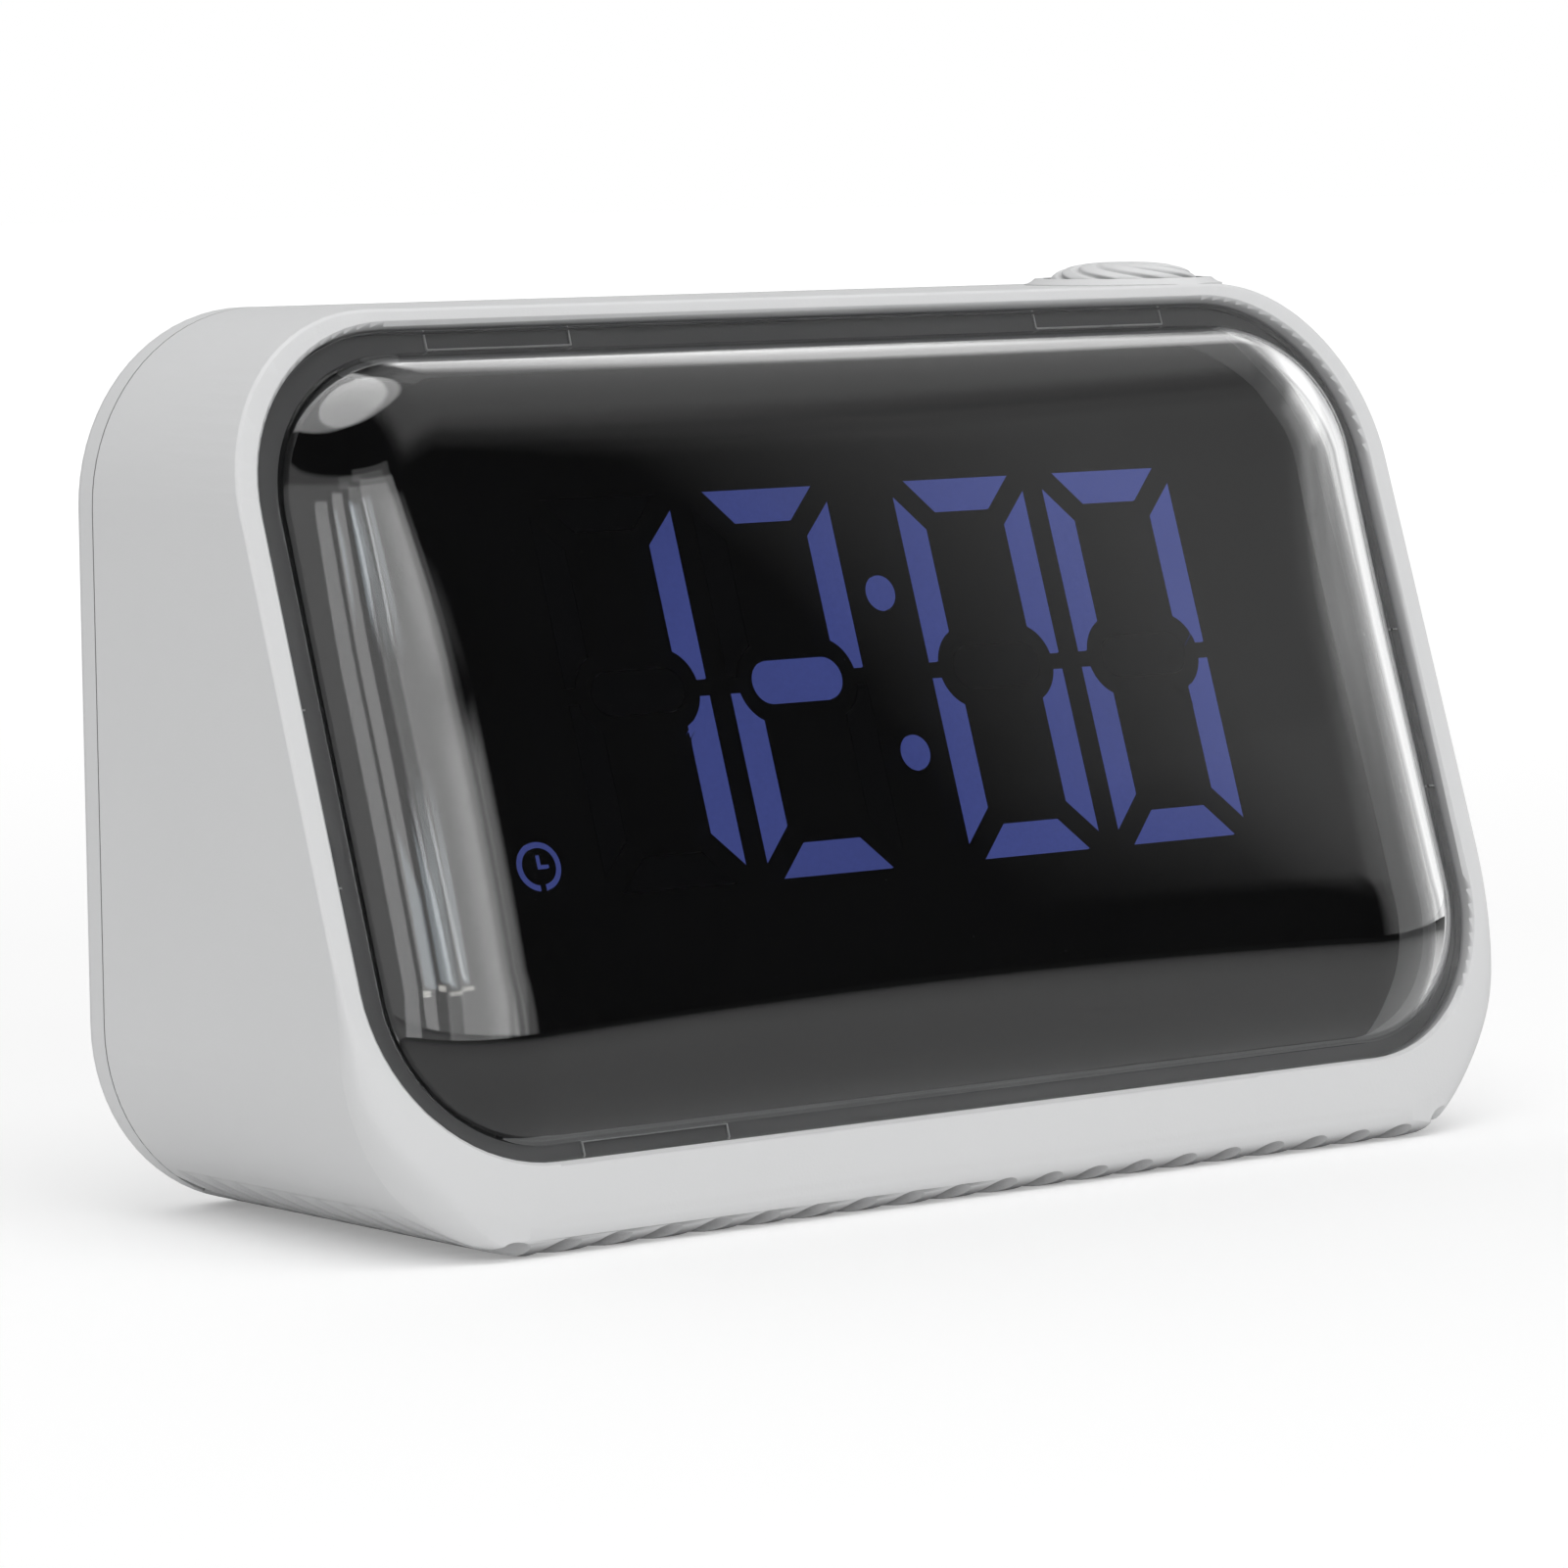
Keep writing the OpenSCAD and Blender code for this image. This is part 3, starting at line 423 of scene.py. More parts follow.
# the tab outlines get a light grey that paints the highlight on the tabs' edges
tabHighlightFinish = plasticMaterial("tabHighlightGrey", tabHighlightGrey)
paint(nodes["inner_frame"], frameFinish)
print("materials set")


# steps that the shell, the lens and the knob share

limits = {
    "merge": 0.0000005,  # triangles of a CAD node
    "weld": 0.000001,  # rings built here, and what a boolean leaves
    "corner": 0.0004,  # no ring has a tighter corner
}


def weld(mesh, reach):
    # merges points that lie together and turns the faces outwards
    seam = bmesh.new()
    seam.from_mesh(mesh)
    if reach:
        bmesh.ops.remove_doubles(seam, verts=seam.verts, dist=reach)
    bmesh.ops.recalc_face_normals(seam, faces=seam.faces)
    seam.to_mesh(mesh)
    seam.free()


def mergedCopy(source, name):
    mesh = source.data.copy()
    mesh.transform(source.matrix_world)
    mesh.materials.clear()
    seam = bmesh.new()
    seam.from_mesh(mesh)
    bmesh.ops.remove_doubles(seam, verts=seam.verts, dist=limits["merge"])
    seam.to_mesh(mesh)
    seam.free()
    return newObject(name, mesh)


def addBoolean(obj, kind, other):
    step = obj.modifiers.new(kind, "BOOLEAN")
    step.operation = kind
    step.solver = "EXACT"
    step.object = other


def keptMesh(obj):
    # what the object's modifiers make, as a plain mesh
    return bpy.data.meshes.new_from_object(obj.evaluated_get(bpy.context.evaluated_depsgraph_get()))


def shadeSmooth(mesh, degrees):
    mesh.shade_smooth()
    mesh.set_sharp_from_angle(angle=math.radians(degrees))


def countTriangles(mesh):
    return sum(len(f.vertices) - 2 for f in mesh.polygons)


def roundedRing(v, a, b, corner):
    # a rounded rectangle seen from the front, from the middle of its right side and left over the top; each
    # point has the way it faces
    r = max(corner, limits["corner"])
    quarter = [(a, (b - r) * k / v["along"], 1.0, 0.0) for k in range(v["along"])]
    for k in range(v["around"] + 1):
        turn = math.pi / 2 * k / v["around"]
        nx, nz = math.cos(turn), math.sin(turn)
        quarter.append((a - r + r * nx, b - r + r * nz, nx, nz))
    quarter += [((a - r) * (1 - k / v["along"]), b, 0.0, 1.0) for k in range(1, v["along"])]
    points = quarter + [(0.0, b, 0.0, 1.0)] + [(-x, z, -nx, nz) for x, z, nx, nz in reversed(quarter)]
    return points + [(x, -z, nx, -nz) for x, z, nx, nz in reversed(points[1:-1])]


def capFaces(end, count):
    # closes a ring that is alike above and below
    half = count // 2
    faces = [(end, end + 1, end + count - 1), (end + half - 1, end + half, end + half + 1)]
    return faces + [(end + i, end + i + 1, end + count - i - 1, end + count - i) for i in range(1, half - 1)]


def ringFaces(first, last, count):
    # the bands between the rings from first to last, and a cap on the last
    faces = []
    for k in range(first, last - 1):
        for i in range(count):
            j = (i + 1) % count
            faces.append((k * count + i, k * count + j, (k + 1) * count + j, (k + 1) * count + i))
    return faces + capFaces((last - 1) * count, count)


# shell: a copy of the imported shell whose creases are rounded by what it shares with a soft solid

shell = {
    "width": 0.1,
    "height": 0.0604,
    "corner": 0.013,
    "back": 0.016,
    "slack": 0.00006,
    "lift": 0.0009,
    "foot": -0.018138,
    "chin": -0.0166706,
    "plan": (0.01424, 0.004542),
    "tilt": math.radians(18.6),
    "blend": 0.0012,
    "top": 0.0005,
    "side": 0.0005,
    "base": 0.0003,
    "cheek": 0.0018,
    "skirt": 0.0012,
    "nearRings": 26,
    "nearStep": 0.0001,
    "nearPower": 2.2,
    "farRings": 19,
    "farStep": 0.0012,
    "along": 60,
    "around": 32,
    "sharp": 14,
}


def blendMax(a, b, reach):
    near = max(0.0, reach - abs(a - b)) / reach
    return max(a, b) + near * near * reach / 4


def frontOf(v, x, z):
    # how far forward the shell's front lies: the leaning face, the chin and its rounded corners in plan
    rx, ry = v["plan"]
    out = min(1.0, max(0.0, (abs(x) - (v["width"] / 2 - rx)) / rx))
    corner = v["chin"] + ry * (1 - math.sqrt(1 - out * out))
    return blendMax(v["foot"] + z * math.tan(v["tilt"]), corner, v["blend"])


def sectionRing(v, inset):
    return roundedRing(v, v["width"] / 2 - inset, v["height"] / 2 - inset, v["corner"] - inset)


def softSolid(v):
    middle = v["height"] / 2

    def rounding(nx, nz):
        level = v["top"] if nz > 0 else v["base"]
        level = v["side"] + (level - v["side"]) * nz * nz
        return level + (v["cheek"] if nz < 0 else 0.0) * (2 * nx * nz) ** 2

    wideRing = sectionRing(v, -v["lift"])
    back, skirt = [], []
    for x, z, nx, nz in wideRing:
        back.append((x, v["back"], z + middle))
        skirt.append((x, frontOf(v, x, z + middle) + rounding(nx, nz) + v["skirt"], z + middle))
    rings = [back, skirt]
    # the rings lie close together where the front rounds over
    depths = [v["nearStep"] * (k / 4) ** v["nearPower"] for k in range(v["nearRings"])]
    depths += [depths[-1] + v["farStep"] * k for k in range(1, v["farRings"] + 1)]
    for depth in depths:
        ring = []
        for x, z, nx, nz in sectionRing(v, depth - v["slack"]):
            wide = rounding(nx, nz)
            part = max(0.0, 1 - depth / wide)
            drop = wide * (1 - math.sqrt(1 - part * part))
            ring.append((x, frontOf(v, x, z + middle) - v["slack"] + drop, z + middle))
        rings.append(ring)
    count = len(wideRing)
    faces = ringFaces(0, len(rings), count) + [tuple(reversed(f)) for f in capFaces(0, count)]
    mesh = bpy.data.meshes.new("softSolid")
    mesh.from_pydata([p for ring in rings for p in ring], [], faces)
    weld(mesh, limits["weld"])
    return newObject("softSolid", mesh)


def makeShell(v):
    rough = mergedCopy(nodes["front_shell"], "shellRough")
    soft = softSolid(v)
    addBoolean(rough, "INTERSECT", soft)
    shown = keptMesh(rough)
    shown.name = "shellWhite"
    seam = bmesh.new()
    seam.from_mesh(shown)
    bmesh.ops.remove_doubles(seam, verts=seam.verts, dist=limits["weld"])
    # the cut leaves a few pinholes where both surfaces nearly meet
    bmesh.ops.holes_fill(seam, edges=[e for e in seam.edges if e.is_boundary], sides=0)
    print("shell open edges", sum(not e.is_manifold for e in seam.edges))
    seam.to_mesh(shown)
    seam.free()
    for obj in (rough, soft):
        bpy.data.objects.remove(obj)
    shadeSmooth(shown, v["sharp"])
    obj = newObject("shellWhite", shown)
    paint(obj, finishes["white_plastic"])
    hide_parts("front_shell")
    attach(obj, "housing")
    weights = obj.modifiers.new("weights", "WEIGHTED_NORMAL")
    weights.keep_sharp = True
    print("shell triangles", countTriangles(shown))


makeShell(shell)


# lens: a domed window with a soft crown, built in rings from its flange inwards and back on the inside

lens = {
    "tilt": math.radians(18.6),
    "foot": -0.018138,
    "middle": 0.0344993,
    "half": (0.04815, 0.0280993),
    "radius": 0.0124,
    "gap": 0.00015,
    "flange": 0.00175,
    "flangeLow": 0.0012,
    "innerFoot": 0.0006,
    "low": -0.0024,
    "top": -0.0008,
    "chamfer": 0.0001,
    "fillet": 0.00025,
    "settle": 0.0003,
    "rise": 0.0048,
    "edge": (0.0112, 0.0076),
    "tighten": (0.1, 0.95),
    "roundness": (2.3, 0.68),
    "crown": 0.0014,
    "wall": 0.0018,
    "rings": 36,
    "ringStep": 0.0015,
    "ringEnd": 0.0021,
    "around": 36,
    "along": 48,
    "weld": 0.000002,
    "sharp": 40,
}


def facePoint(x, s, n):
    # a point on the leaning front: x right, s up the face from its foot, n outwards
    st, ct = math.sin(lens["tilt"]), math.cos(lens["tilt"])
    return (x, lens["foot"] + s * st - n * ct, s * ct + n * st)


def ringOutline(v, inset, drop):
    # the dome sits a little low in its flange, so a ring can drop
    ring = roundedRing(v, v["half"][0] - inset, v["half"][1] - inset + drop, v["radius"] - inset)
    return [(x, s - drop) for x, s, nx, ns in ring]


def smooth(value, low, high):
    part = min(1.0, max(0.0, (value - low) / (high - low)))
    return part * part * (3 - 2 * part)


def domeHeight(v, x, s, depth, rise):
    # how far the dome stands out at a distance from its own outline; its rounding is tighter along the top
    a, b = v["half"][0] - v["flange"], v["half"][1] - (v["flange"] + v["flangeLow"]) / 2
    low, high = v["edge"]
    edge = low + (high - low) * smooth(s / b, *v["tighten"])
    part = max(0.0, 1 - depth / edge)
    swell = v["crown"] * max(0.0, 1 - (x / a) ** 2) * max(0.0, 1 - (s / b) ** 2)
    inner, outer = v["roundness"]
    return rise * max(0.0, 1 - part ** inner) ** outer + swell


def makeLens(v):
    rings = []
    drop = (v["flange"] - v["flangeLow"]) / 2

    def addRing(inset, height):
        low = drop if inset > v["flange"] - v["settle"] else 0.0
        rings.append([(x, s, height(x, s + low)) for x, s in ringOutline(v, inset, low)])

    def sweep(start, base, rise):
        # rings over the dome, close together where it curves
        widest = v["edge"][0]
        for k in range(v["rings"] + 1):
            depth = widest * (1 - math.cos(math.pi / 2 * k / v["rings"]))
            addRing(start + depth, lambda x, s: base + domeHeight(v, x, s, depth, rise))
        depth = widest
        while start + depth < v["half"][1] - v["ringEnd"]:
            depth += v["ringStep"]
            addRing(start + depth, lambda x, s: base + domeHeight(v, x, s, depth, rise))

    addRing(v["gap"], lambda x, s: v["low"])
    addRing(v["gap"], lambda x, s: v["top"] - v["chamfer"])
    addRing(v["gap"] + v["chamfer"], lambda x, s: v["top"])
    addRing(v["flange"] - v["fillet"], lambda x, s: v["top"])
    sweep(v["flange"], v["top"], v["rise"])
    outer = len(rings)
    addRing(v["gap"], lambda x, s: v["low"])
    sweep(v["flange"] + v["innerFoot"], v["low"], v["rise"] + v["top"] - v["low"] - v["wall"])
    count = len(rings[0])
    verts = [facePoint(x, v["middle"] + s, n) for ring in rings for x, s, n in ring]
    faces = ringFaces(0, outer, count)
    faces += [tuple(reversed(f)) for f in ringFaces(outer, len(rings), count)]
    mesh = bpy.data.meshes.new("lensWindow")
    mesh.from_pydata(verts, [], faces)
    mesh.materials.append(finishes["clear_plastic"])
    mesh.materials.append(frameFinish)
    # the underside of the flange is printed grey
    under = {i for k in (0, outer, outer + 1) for i in range(k * count, (k + 1) * count)}
    for face in mesh.polygons:
        if all(i in under for i in face.vertices):
            face.material_index = 1
    weld(mesh, v["weld"])
    shadeSmooth(mesh, v["sharp"])
    obj = newObject("lensWindow", mesh)
    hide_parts("lens")
    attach(obj, "housing")


makeLens(lens)


# snap tabs moulded under the flange; only their thin bright outlines are drawn, as light grey bars that paint
# the highlight along their edges

tabs = {
    "places": (("top", -0.0258), ("top", 0.0268), ("low", -0.0267), ("left", -0.0028), ("right", -0.0028)),
    "length": 0.0118,
    "reach": 0.00105,
    "tick": 0.0009,
    "line": 0.00013,
    "inset": 0.0001,
    "lift": 0.00004,
    "high": 0.00022,
}


def makeTabs(v, around):
    # thin light bars on the flange's printed underside, a painted highlight for the tabs' edges: two ends and
    # a long side, at left and right only the ends
    verts, faces = [], []

    def addBar(x0, x1, s0, s1):
        start = len(verts)
        for n in (around["low"] + v["lift"], around["low"] + v["high"]):
            for x, s in ((x0, s0), (x1, s0), (x1, s1), (x0, s1)):
                verts.append(facePoint(x, around["middle"] + s, n))
        for face in ((3, 2, 1, 0), (4, 5, 6, 7), (0, 1, 5, 4), (1, 2, 6, 5), (2, 3, 7, 6), (3, 0, 4, 7)):
            faces.append(tuple(start + i for i in face))

    a, b = around["half"]
    half, line = v["length"] / 2, v["line"]
    for side, place in v["places"]:
        if side in ("left", "right"):
            sign = -1 if side == "left" else 1
            edge = sign * (a - around["gap"] - v["inset"])
            x0, x1 = sorted((edge, edge - sign * v["tick"]))
            for s in (place - half, place + half):
                addBar(x0, x1, s - line / 2, s + line / 2)
        else:
            sign = 1 if side == "top" else -1
            edge = sign * (b - around["gap"] - v["inset"])
            inner = edge - sign * v["reach"]
            s0, s1 = sorted((edge, inner))
            for x in (place - half, place + half):
                addBar(x - line / 2, x + line / 2, s0, s1)
            addBar(place - half, place + half, inner - line / 2, inner + line / 2)
    mesh = bpy.data.meshes.new("lensTabs")
    mesh.from_pydata(verts, [], faces)
    weld(mesh, 0.0)
    obj = newObject("lensTabs", mesh)
    paint(obj, tabHighlightFinish)
    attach(obj, "housing")


makeTabs(tabs, lens)
print("lens made")


# knob cap: a low dome with swirled grooves, grown by a node tree, on the stem of the CAD knob

knobCap = {
    "centre": (0.0348, 0.009529),
    "foot": 0.06001,
    "radius": 0.00549,
    "height": 0.00198,
    "grooves": 9,
    "depth": 0.0003,
    "swirl": 20.0,
    "narrow": 4.0,
    "starts": (0.08, 0.25, 0.0, 1.0),
    "fades": (0.55, 0.85, 1.0, 0.0),
    "fullness": 0.74,
    "closes": 0.97,
    "around": 280,
    "rows": 44,
    "bore": (0.0021, 0.059, 0.0608),
    "stem": (0.0029, 0.054, 0.060005),
    "facets": 96,
    "sharp": 40,
}


class FormTree(Tree):
    # a geometry node tree whose sizes are named inputs
    def __init__(self, name, sizes):
        self.tree = bpy.data.node_groups.new(name, "GeometryNodeTree")
        interface = self.tree.interface
        interface.new_socket("Geometry", in_out="OUTPUT", socket_type="NodeSocketGeometry")
        self.keys = {}
        for key in sizes:
            socket = interface.new_socket(key, in_out="INPUT", socket_type="NodeSocketFloat")
            self.keys[key] = socket.identifier
        self.sizes = self.tree.nodes.new("NodeGroupInput").outputs

    def close(self, shape, mat):
        whole = self.add("GeometryNodeRealizeInstances", Geometry=shape)
        painted = self.add("GeometryNodeSetMaterial", Geometry=whole, Material=mat)
        self.put(self.tree.nodes.new("NodeGroupOutput"), "Geometry", painted)


def growShape(name, form, sizes):
    # runs a tree and keeps its result as a plain mesh
    obj = newObject(name, bpy.data.meshes.new(name))
    grow = obj.modifiers.new("grow", "NODES")
    grow.node_group = form.tree
    for key, value in sizes.items():
        grow[form.keys[key]] = value
    mesh = keptMesh(obj)
    obj.modifiers.remove(grow)
    obj.data = mesh
    return obj


def capTree(v, sizes):
    t = FormTree("knobCap", sizes)
    tube = t.add(
        "GeometryNodeMeshCylinder",
        {"fill_type": "TRIANGLE_FAN"},
        Vertices=v["around"],
        Side_Segments=v["rows"],
        Radius=1.0,
        Depth=1.0,
    )
    place = t.add("ShaderNodeSeparateXYZ", Vector=t.add("GeometryNodeInputPosition"))
    along = t.maths("MULTIPLY", t.maths("ADD", place.outputs["Z"], 0.5), v["closes"])
    lean = t.maths("MULTIPLY", along, math.pi / 2)
    out, up = t.maths("COSINE", lean), t.maths("SINE", lean)
    turn = t.maths("ARCTAN2", place.outputs["Y"], place.outputs["X"])
    # the grooves turn as they climb, and run out near the foot and the top
    phase = t.maths("MULTIPLY", turn, t.sizes["Grooves"])
    phase = t.maths("ADD", phase, t.maths("MULTIPLY", along, t.sizes["Swirl"]))
    wave = t.maths("POWER", t.ramp(t.maths("COSINE", phase), -1.0, 1.0, 0.0, 1.0), v["narrow"])
    ends = t.maths("MULTIPLY", t.ramp(along, *v["starts"]), t.ramp(along, *v["fades"]))
    cut = t.maths("MULTIPLY", t.maths("MULTIPLY", wave, ends), t.sizes["Depth"])
    wide = t.maths("MULTIPLY", t.maths("POWER", out, v["fullness"]), t.sizes["Radius"])
    high = t.maths("MULTIPLY", t.maths("POWER", up, v["fullness"]), t.sizes["Height"])
    wide = t.maths("SUBTRACT", wide, t.maths("MULTIPLY", cut, out))
    high = t.maths("SUBTRACT", high, t.maths("MULTIPLY", cut, up))
    x = t.maths("ADD", t.maths("MULTIPLY", place.outputs["X"], wide), v["centre"][0])
    y = t.maths("ADD", t.maths("MULTIPLY", place.outputs["Y"], wide), v["centre"][1])
    moved = t.add("GeometryNodeSetPosition", Geometry=tube)
    t.put(moved, "Position", t.add("ShaderNodeCombineXYZ", X=x, Y=y, Z=t.maths("ADD", high, v["foot"])))
    t.close(moved, finishes["white_plastic"])
    return t


def plug(name, v, radius, low, high):
    # a plain cylinder on the knob's axis that only cuts other shapes
    x, y = v["centre"]
    mesh = bpy.data.meshes.new(name)
    form = bmesh.new()
    bmesh.ops.create_cone(
        form, cap_ends=True, segments=v["facets"], radius1=radius, radius2=radius, depth=high - low
    )
    bmesh.ops.translate(form, verts=form.verts, vec=(x, y, (low + high) / 2))
    form.to_mesh(mesh)
    form.free()
    return newObject(name, mesh)


def makeKnob(v):
    sizes = {
        "Radius": v["radius"],
        "Height": v["height"],
        "Grooves": v["grooves"],
        "Depth": v["depth"],
        "Swirl": v["swirl"],
    }
    cap = growShape("capForm", capTree(v, sizes), sizes)
    stem = mergedCopy(nodes["control_knob"], "stemForm")
    around = plug("stemPlug", v, *v["stem"])
    bore = plug("borePlug", v, *v["bore"])
    addBoolean(stem, "INTERSECT", around)
    addBoolean(cap, "DIFFERENCE", bore)
    form = bmesh.new()
    for obj in (cap, stem):
        form.from_mesh(keptMesh(obj))
    print("knob open edges", sum(not e.is_manifold for e in form.edges))
    for face in form.faces:
        face.material_index = 0
    shown = bpy.data.meshes.new("knobSwirl")
    form.to_mesh(shown)
    form.free()
    for obj in (cap, stem, around, bore):
        bpy.data.objects.remove(obj)
    shadeSmooth(shown, v["sharp"])
    obj = newObject("knobSwirl", shown)
    paint(obj, finishes["white_plastic"])
    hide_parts("control_knob")
    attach(obj, "knob")
    print("knob triangles", countTriangles(shown))


makeKnob(knobCap)


# stage and light

stageValues = {
    "half": 6.0,
    "below": 0.00002,
    "shade": (0.86, 0.86, 0.86),
    "mottle": 1.01,
    "lift": (0.16, 1.1, 0.26, 0.62),
    "fade": (0.08, 0.5, 0.1, 0.97),
    "deep": 0.02,
}


def makeFloor(v):
    # pale paper that brightens with distance; what the lens mirrors of it fades to dark
    mesh = bpy.data.meshes.new("floor")
    h = v["half"]
    mesh.from_pydata([(-h, -h, 0), (h, -h, 0), (h, h, 0), (-h, h, 0)], [], [(0, 1, 2, 3)])
    floor = newObject("floor", mesh)
    floor.location.z = -v["below"]
    mat = bpy.data.materials.new("floorPale")
    t = Tree(mat)
    place = t.place()
    shade = t.blend(t.noise(place, 3.0, 2.0), rgb(*v["shade"]), rgb(*[c * v["mottle"] for c in v["shade"]]))
    matte = t.add("ShaderNodeBsdfDiffuse", Color=shade)
    glow = t.add("ShaderNodeEmission", Color=rgb(1, 1, 1))
    path = t.add("ShaderNodeLightPath")
    away = t.add("ShaderNodeVectorMath", {"operation": "LENGTH"}, Vector=place).outputs["Value"]
    t.put(glow, "Strength", t.maths("MULTIPLY", path.outputs["Is Camera Ray"], t.ramp(away, *v["lift"])))
    both = t.add("ShaderNodeAddShader")
    t.put(both, "0", matte)
    t.put(both, "1", glow)
    mirrored = t.maths("MAXIMUM", path.outputs["Is Glossy Ray"], path.outputs["Is Transmission Ray"])
    faded = t.add("ShaderNodeMixShader")
    t.put(faded, "0", t.maths("MULTIPLY", mirrored, t.ramp(away, *v["fade"])))
    t.put(faded, "1", both)
    t.put(faded, "2", t.add("ShaderNodeEmission", Color=rgb(1, 1, 1), Strength=v["deep"]))
    t.finish(faded)
    paint(floor, mat)


# what the lens and the shell mirror: cards round the studio
# turn is in degrees from the front to the right, edge is how far each side fades, high and soft are sines of
# the height above the horizon, and lean slants a card
cards = {
    "sideWall": {"turn": (-128, -19), "edge": (6, 2), "high": (-0.3, 0.58), "soft": 0.04, "level": 1.02},
    "windowLeft": {"turn": (-45, -37), "edge": (1.5, 1.5), "high": (-0.1, 0.455), "soft": 0.03, "level": 3.3},
    "windowRight": {"turn": (-18, 9), "edge": (2, 2), "high": (-0.1, 0.56), "soft": 0.02, "level": 2.75},
    "windowRim": {"turn": (3, 13), "edge": (5, 2), "high": (-0.1, 0.475), "soft": 0.02, "level": 1.2},
    "curtain": {"turn": (13.5, 18), "edge": (1, 2), "high": (-0.1, 0.465), "soft": 0.015, "level": 1.4},
    "lintel": {"turn": (-25, 8), "edge": (2, 2), "high": (0.565, 0.64), "soft": 0.01, "level": 0.9},
    "tubeRight": {
        "turn": (-18, -16.5), "edge": (1, 1), "high": (0.42, 0.45), "soft": 0.01, "level": 5.0,
        "tint": (0.92, 0.95, 1), "lean": -100,
    },
    "glassLeft": {
        "turn": (-31, -25), "edge": (1, 1), "high": (0.4, 0.427), "soft": 0.006, "level": 3.5,
        "tint": (0.8, 0.92, 1),
    },
    "glassRight": {
        "turn": (-16, -13), "edge": (1, 1), "high": (0.405, 0.45), "soft": 0.02, "level": 3.0,
        "tint": (0.85, 0.95, 1),
    },
    "lampLeft": {
        "turn": (-33, -29), "edge": (1, 1), "high": (0.35, 0.38), "soft": 0.01, "level": 8.0,
        "tint": (1, 0.97, 0.9),
    },
    "lampRight": {
        "turn": (-17, -11), "edge": (1, 1), "high": (0.35, 0.372), "soft": 0.01, "level": 6.0,
        "tint": (1, 0.97, 0.9),
    },
    "overhead": {"turn": (-181, 181), "edge": (1, 1), "high": (0.93, 1.1), "soft": 0.015, "level": 4.0},
    "ceiling": {"turn": (30, 110), "edge": (10, 10), "high": (0.72, 0.9), "soft": 0.12, "level": 0.55},
    "topLine": {"turn": (116, 134), "edge": (8, 6), "high": (0.61, 0.72), "soft": 0.07, "level": 3.5},
    "greyWall": {"turn": (50, 112), "edge": (8, 8), "high": (0.345, 0.58), "soft": 0.08, "level": 0.44},
    "greyLow": {"turn": (53, 80), "edge": (6, 30), "high": (0.0, 0.3), "soft": 0.05, "level": 0.5},
    "rightGlow": {"turn": (80, 90), "edge": (8, 4), "high": (-0.4, 0.45), "soft": 0.08, "level": 0.35},
    "rightUpper": {"turn": (66, 83), "edge": (6, 4), "high": (0.31, 0.47), "soft": 0.05, "level": 1.2},
    "rightWall": {"turn": (95, 102), "edge": (3, 14), "high": (-0.3, 0.45), "soft": 0.1, "level": 0.75},
    "post": {"turn": (56, 60), "edge": (4, 4), "high": (0.0, 0.42), "soft": 0.06, "level": 0.18},
}
room = {"fill": 0.62, "dark": 0.025, "seen": 1.0}


def cardMask(t, card, turn, height):
    across = turn
    if "lean" in card:
        raised = t.maths("SUBTRACT", height, sum(card["high"]) / 2)
        across = t.maths("ADD", turn, t.maths("MULTIPLY", raised, -card["lean"]))
    low, high = card["turn"]
    fromLow = t.ramp(across, low - card["edge"][0], low, 0.0, 1.0)
    mask = t.maths("MULTIPLY", fromLow, t.ramp(across, high, high + card["edge"][1], 1.0, 0.0))
    for start, end in zip(card["high"], (-1, 1)):
        mask = t.maths("MULTIPLY", mask, t.ramp(height, start + end * card["soft"], start, 0.0, 1.0))
    return mask


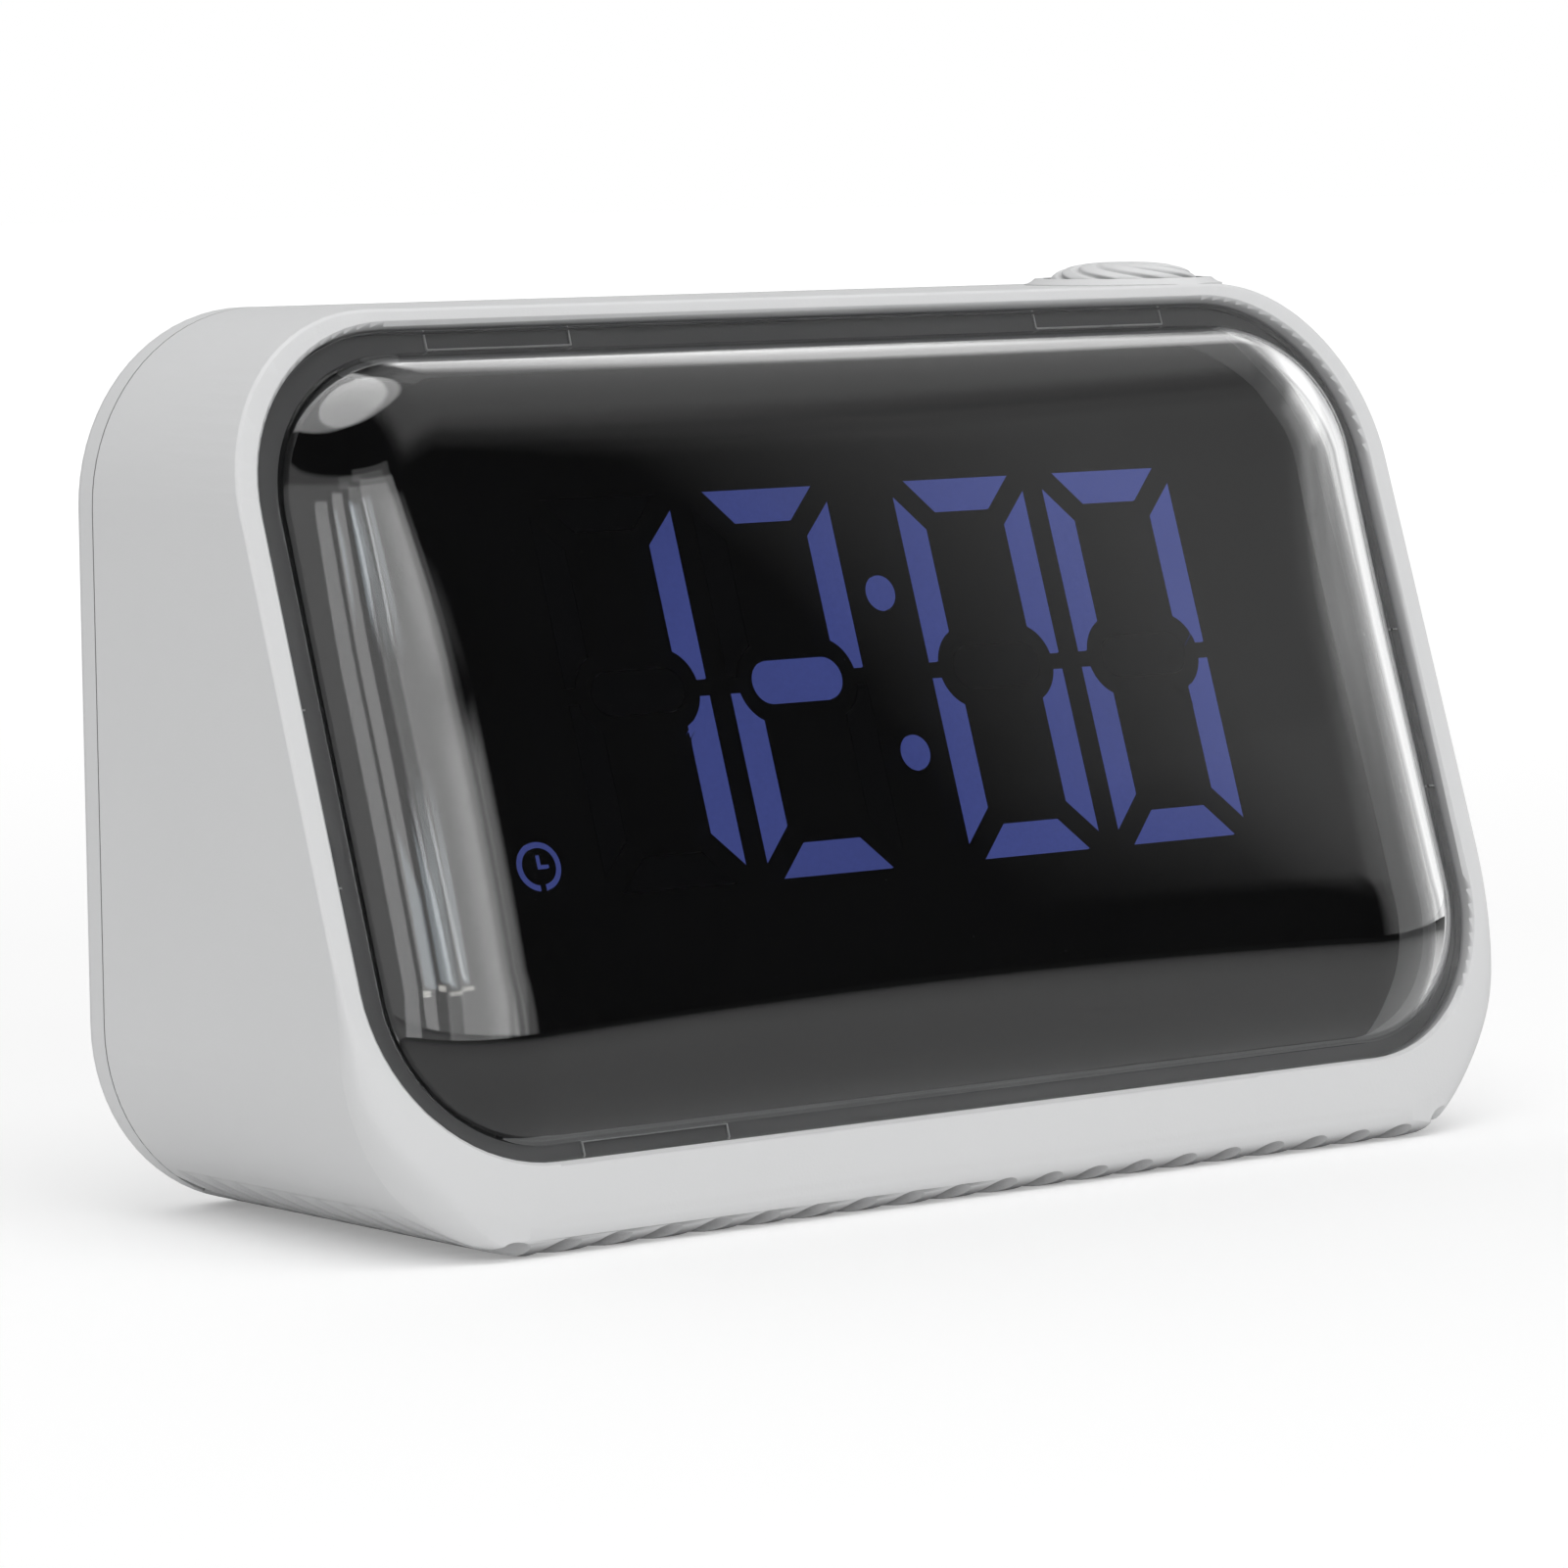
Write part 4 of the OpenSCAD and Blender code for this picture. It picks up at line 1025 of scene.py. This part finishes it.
def makeWorld(v, cards):
    world = bpy.data.worlds.new("World")
    bpy.context.scene.world = world
    t = Tree(world)

    def backdrop(strength, tint=(1, 1, 1)):
        return t.add("ShaderNodeBackground", Color=rgb(*tint), Strength=strength)

    axes = t.add("ShaderNodeSeparateXYZ", Vector=t.add("ShaderNodeTexCoord").outputs["Generated"])
    turn = t.maths("ARCTAN2", axes.outputs["X"], t.maths("MULTIPLY", axes.outputs["Y"], -1.0))
    turn = t.maths("MULTIPLY", turn, math.degrees(1))
    seen = backdrop(v["dark"])
    for card in cards.values():
        mask = cardMask(t, card, turn, axes.outputs["Z"])
        light = backdrop(t.maths("MULTIPLY", mask, card["level"]), card.get("tint", (1, 1, 1)))
        both = t.add("ShaderNodeAddShader")
        t.put(both, "0", seen)
        t.put(both, "1", light)
        seen = both
    path = t.add("ShaderNodeLightPath")
    byLens = t.maths("MAXIMUM", path.outputs["Is Glossy Ray"], path.outputs["Is Transmission Ray"])
    mirrored = t.add("ShaderNodeMixShader")
    t.put(mirrored, "0", byLens)
    t.put(mirrored, "1", backdrop(v["fill"]))
    t.put(mirrored, "2", seen)
    whole = t.add("ShaderNodeMixShader")
    t.put(whole, "0", path.outputs["Is Camera Ray"])
    t.put(whole, "1", mirrored)
    t.put(whole, "2", backdrop(v["seen"]))
    out = t.tree.nodes.new("ShaderNodeOutputWorld")
    t.put(out, "Surface", whole)


# soft lamps that only light the scene: the camera and the lens don't see them
lamps = {
    "over": {"place": (-0.1, -0.35, 1.1), "aim": (0, 0, 0.03), "size": (0.9, 0.7), "watts": 3.0},
    "front": {"place": (-0.2, -1.25, 0.6), "aim": (0, 0, 0.03), "size": (0.8, 0.6), "watts": 2.0},
}


def makeLamp(name, v):
    data = bpy.data.lights.new(name, "AREA")
    data.shape = "RECTANGLE"
    data.size, data.size_y = v["size"]
    data.energy = v["watts"]
    obj = newObject(name, data)
    obj.location = v["place"]
    aim = Vector(v["aim"]) - Vector(v["place"])
    obj.rotation_mode = "QUATERNION"
    obj.rotation_quaternion = aim.to_track_quat("-Z", "Y")
    obj.visible_camera = False
    obj.visible_glossy = False
    obj.visible_transmission = False


makeFloor(stageValues)
makeWorld(room, cards)
for name, values in lamps.items():
    makeLamp(name, values)
print("stage lit")
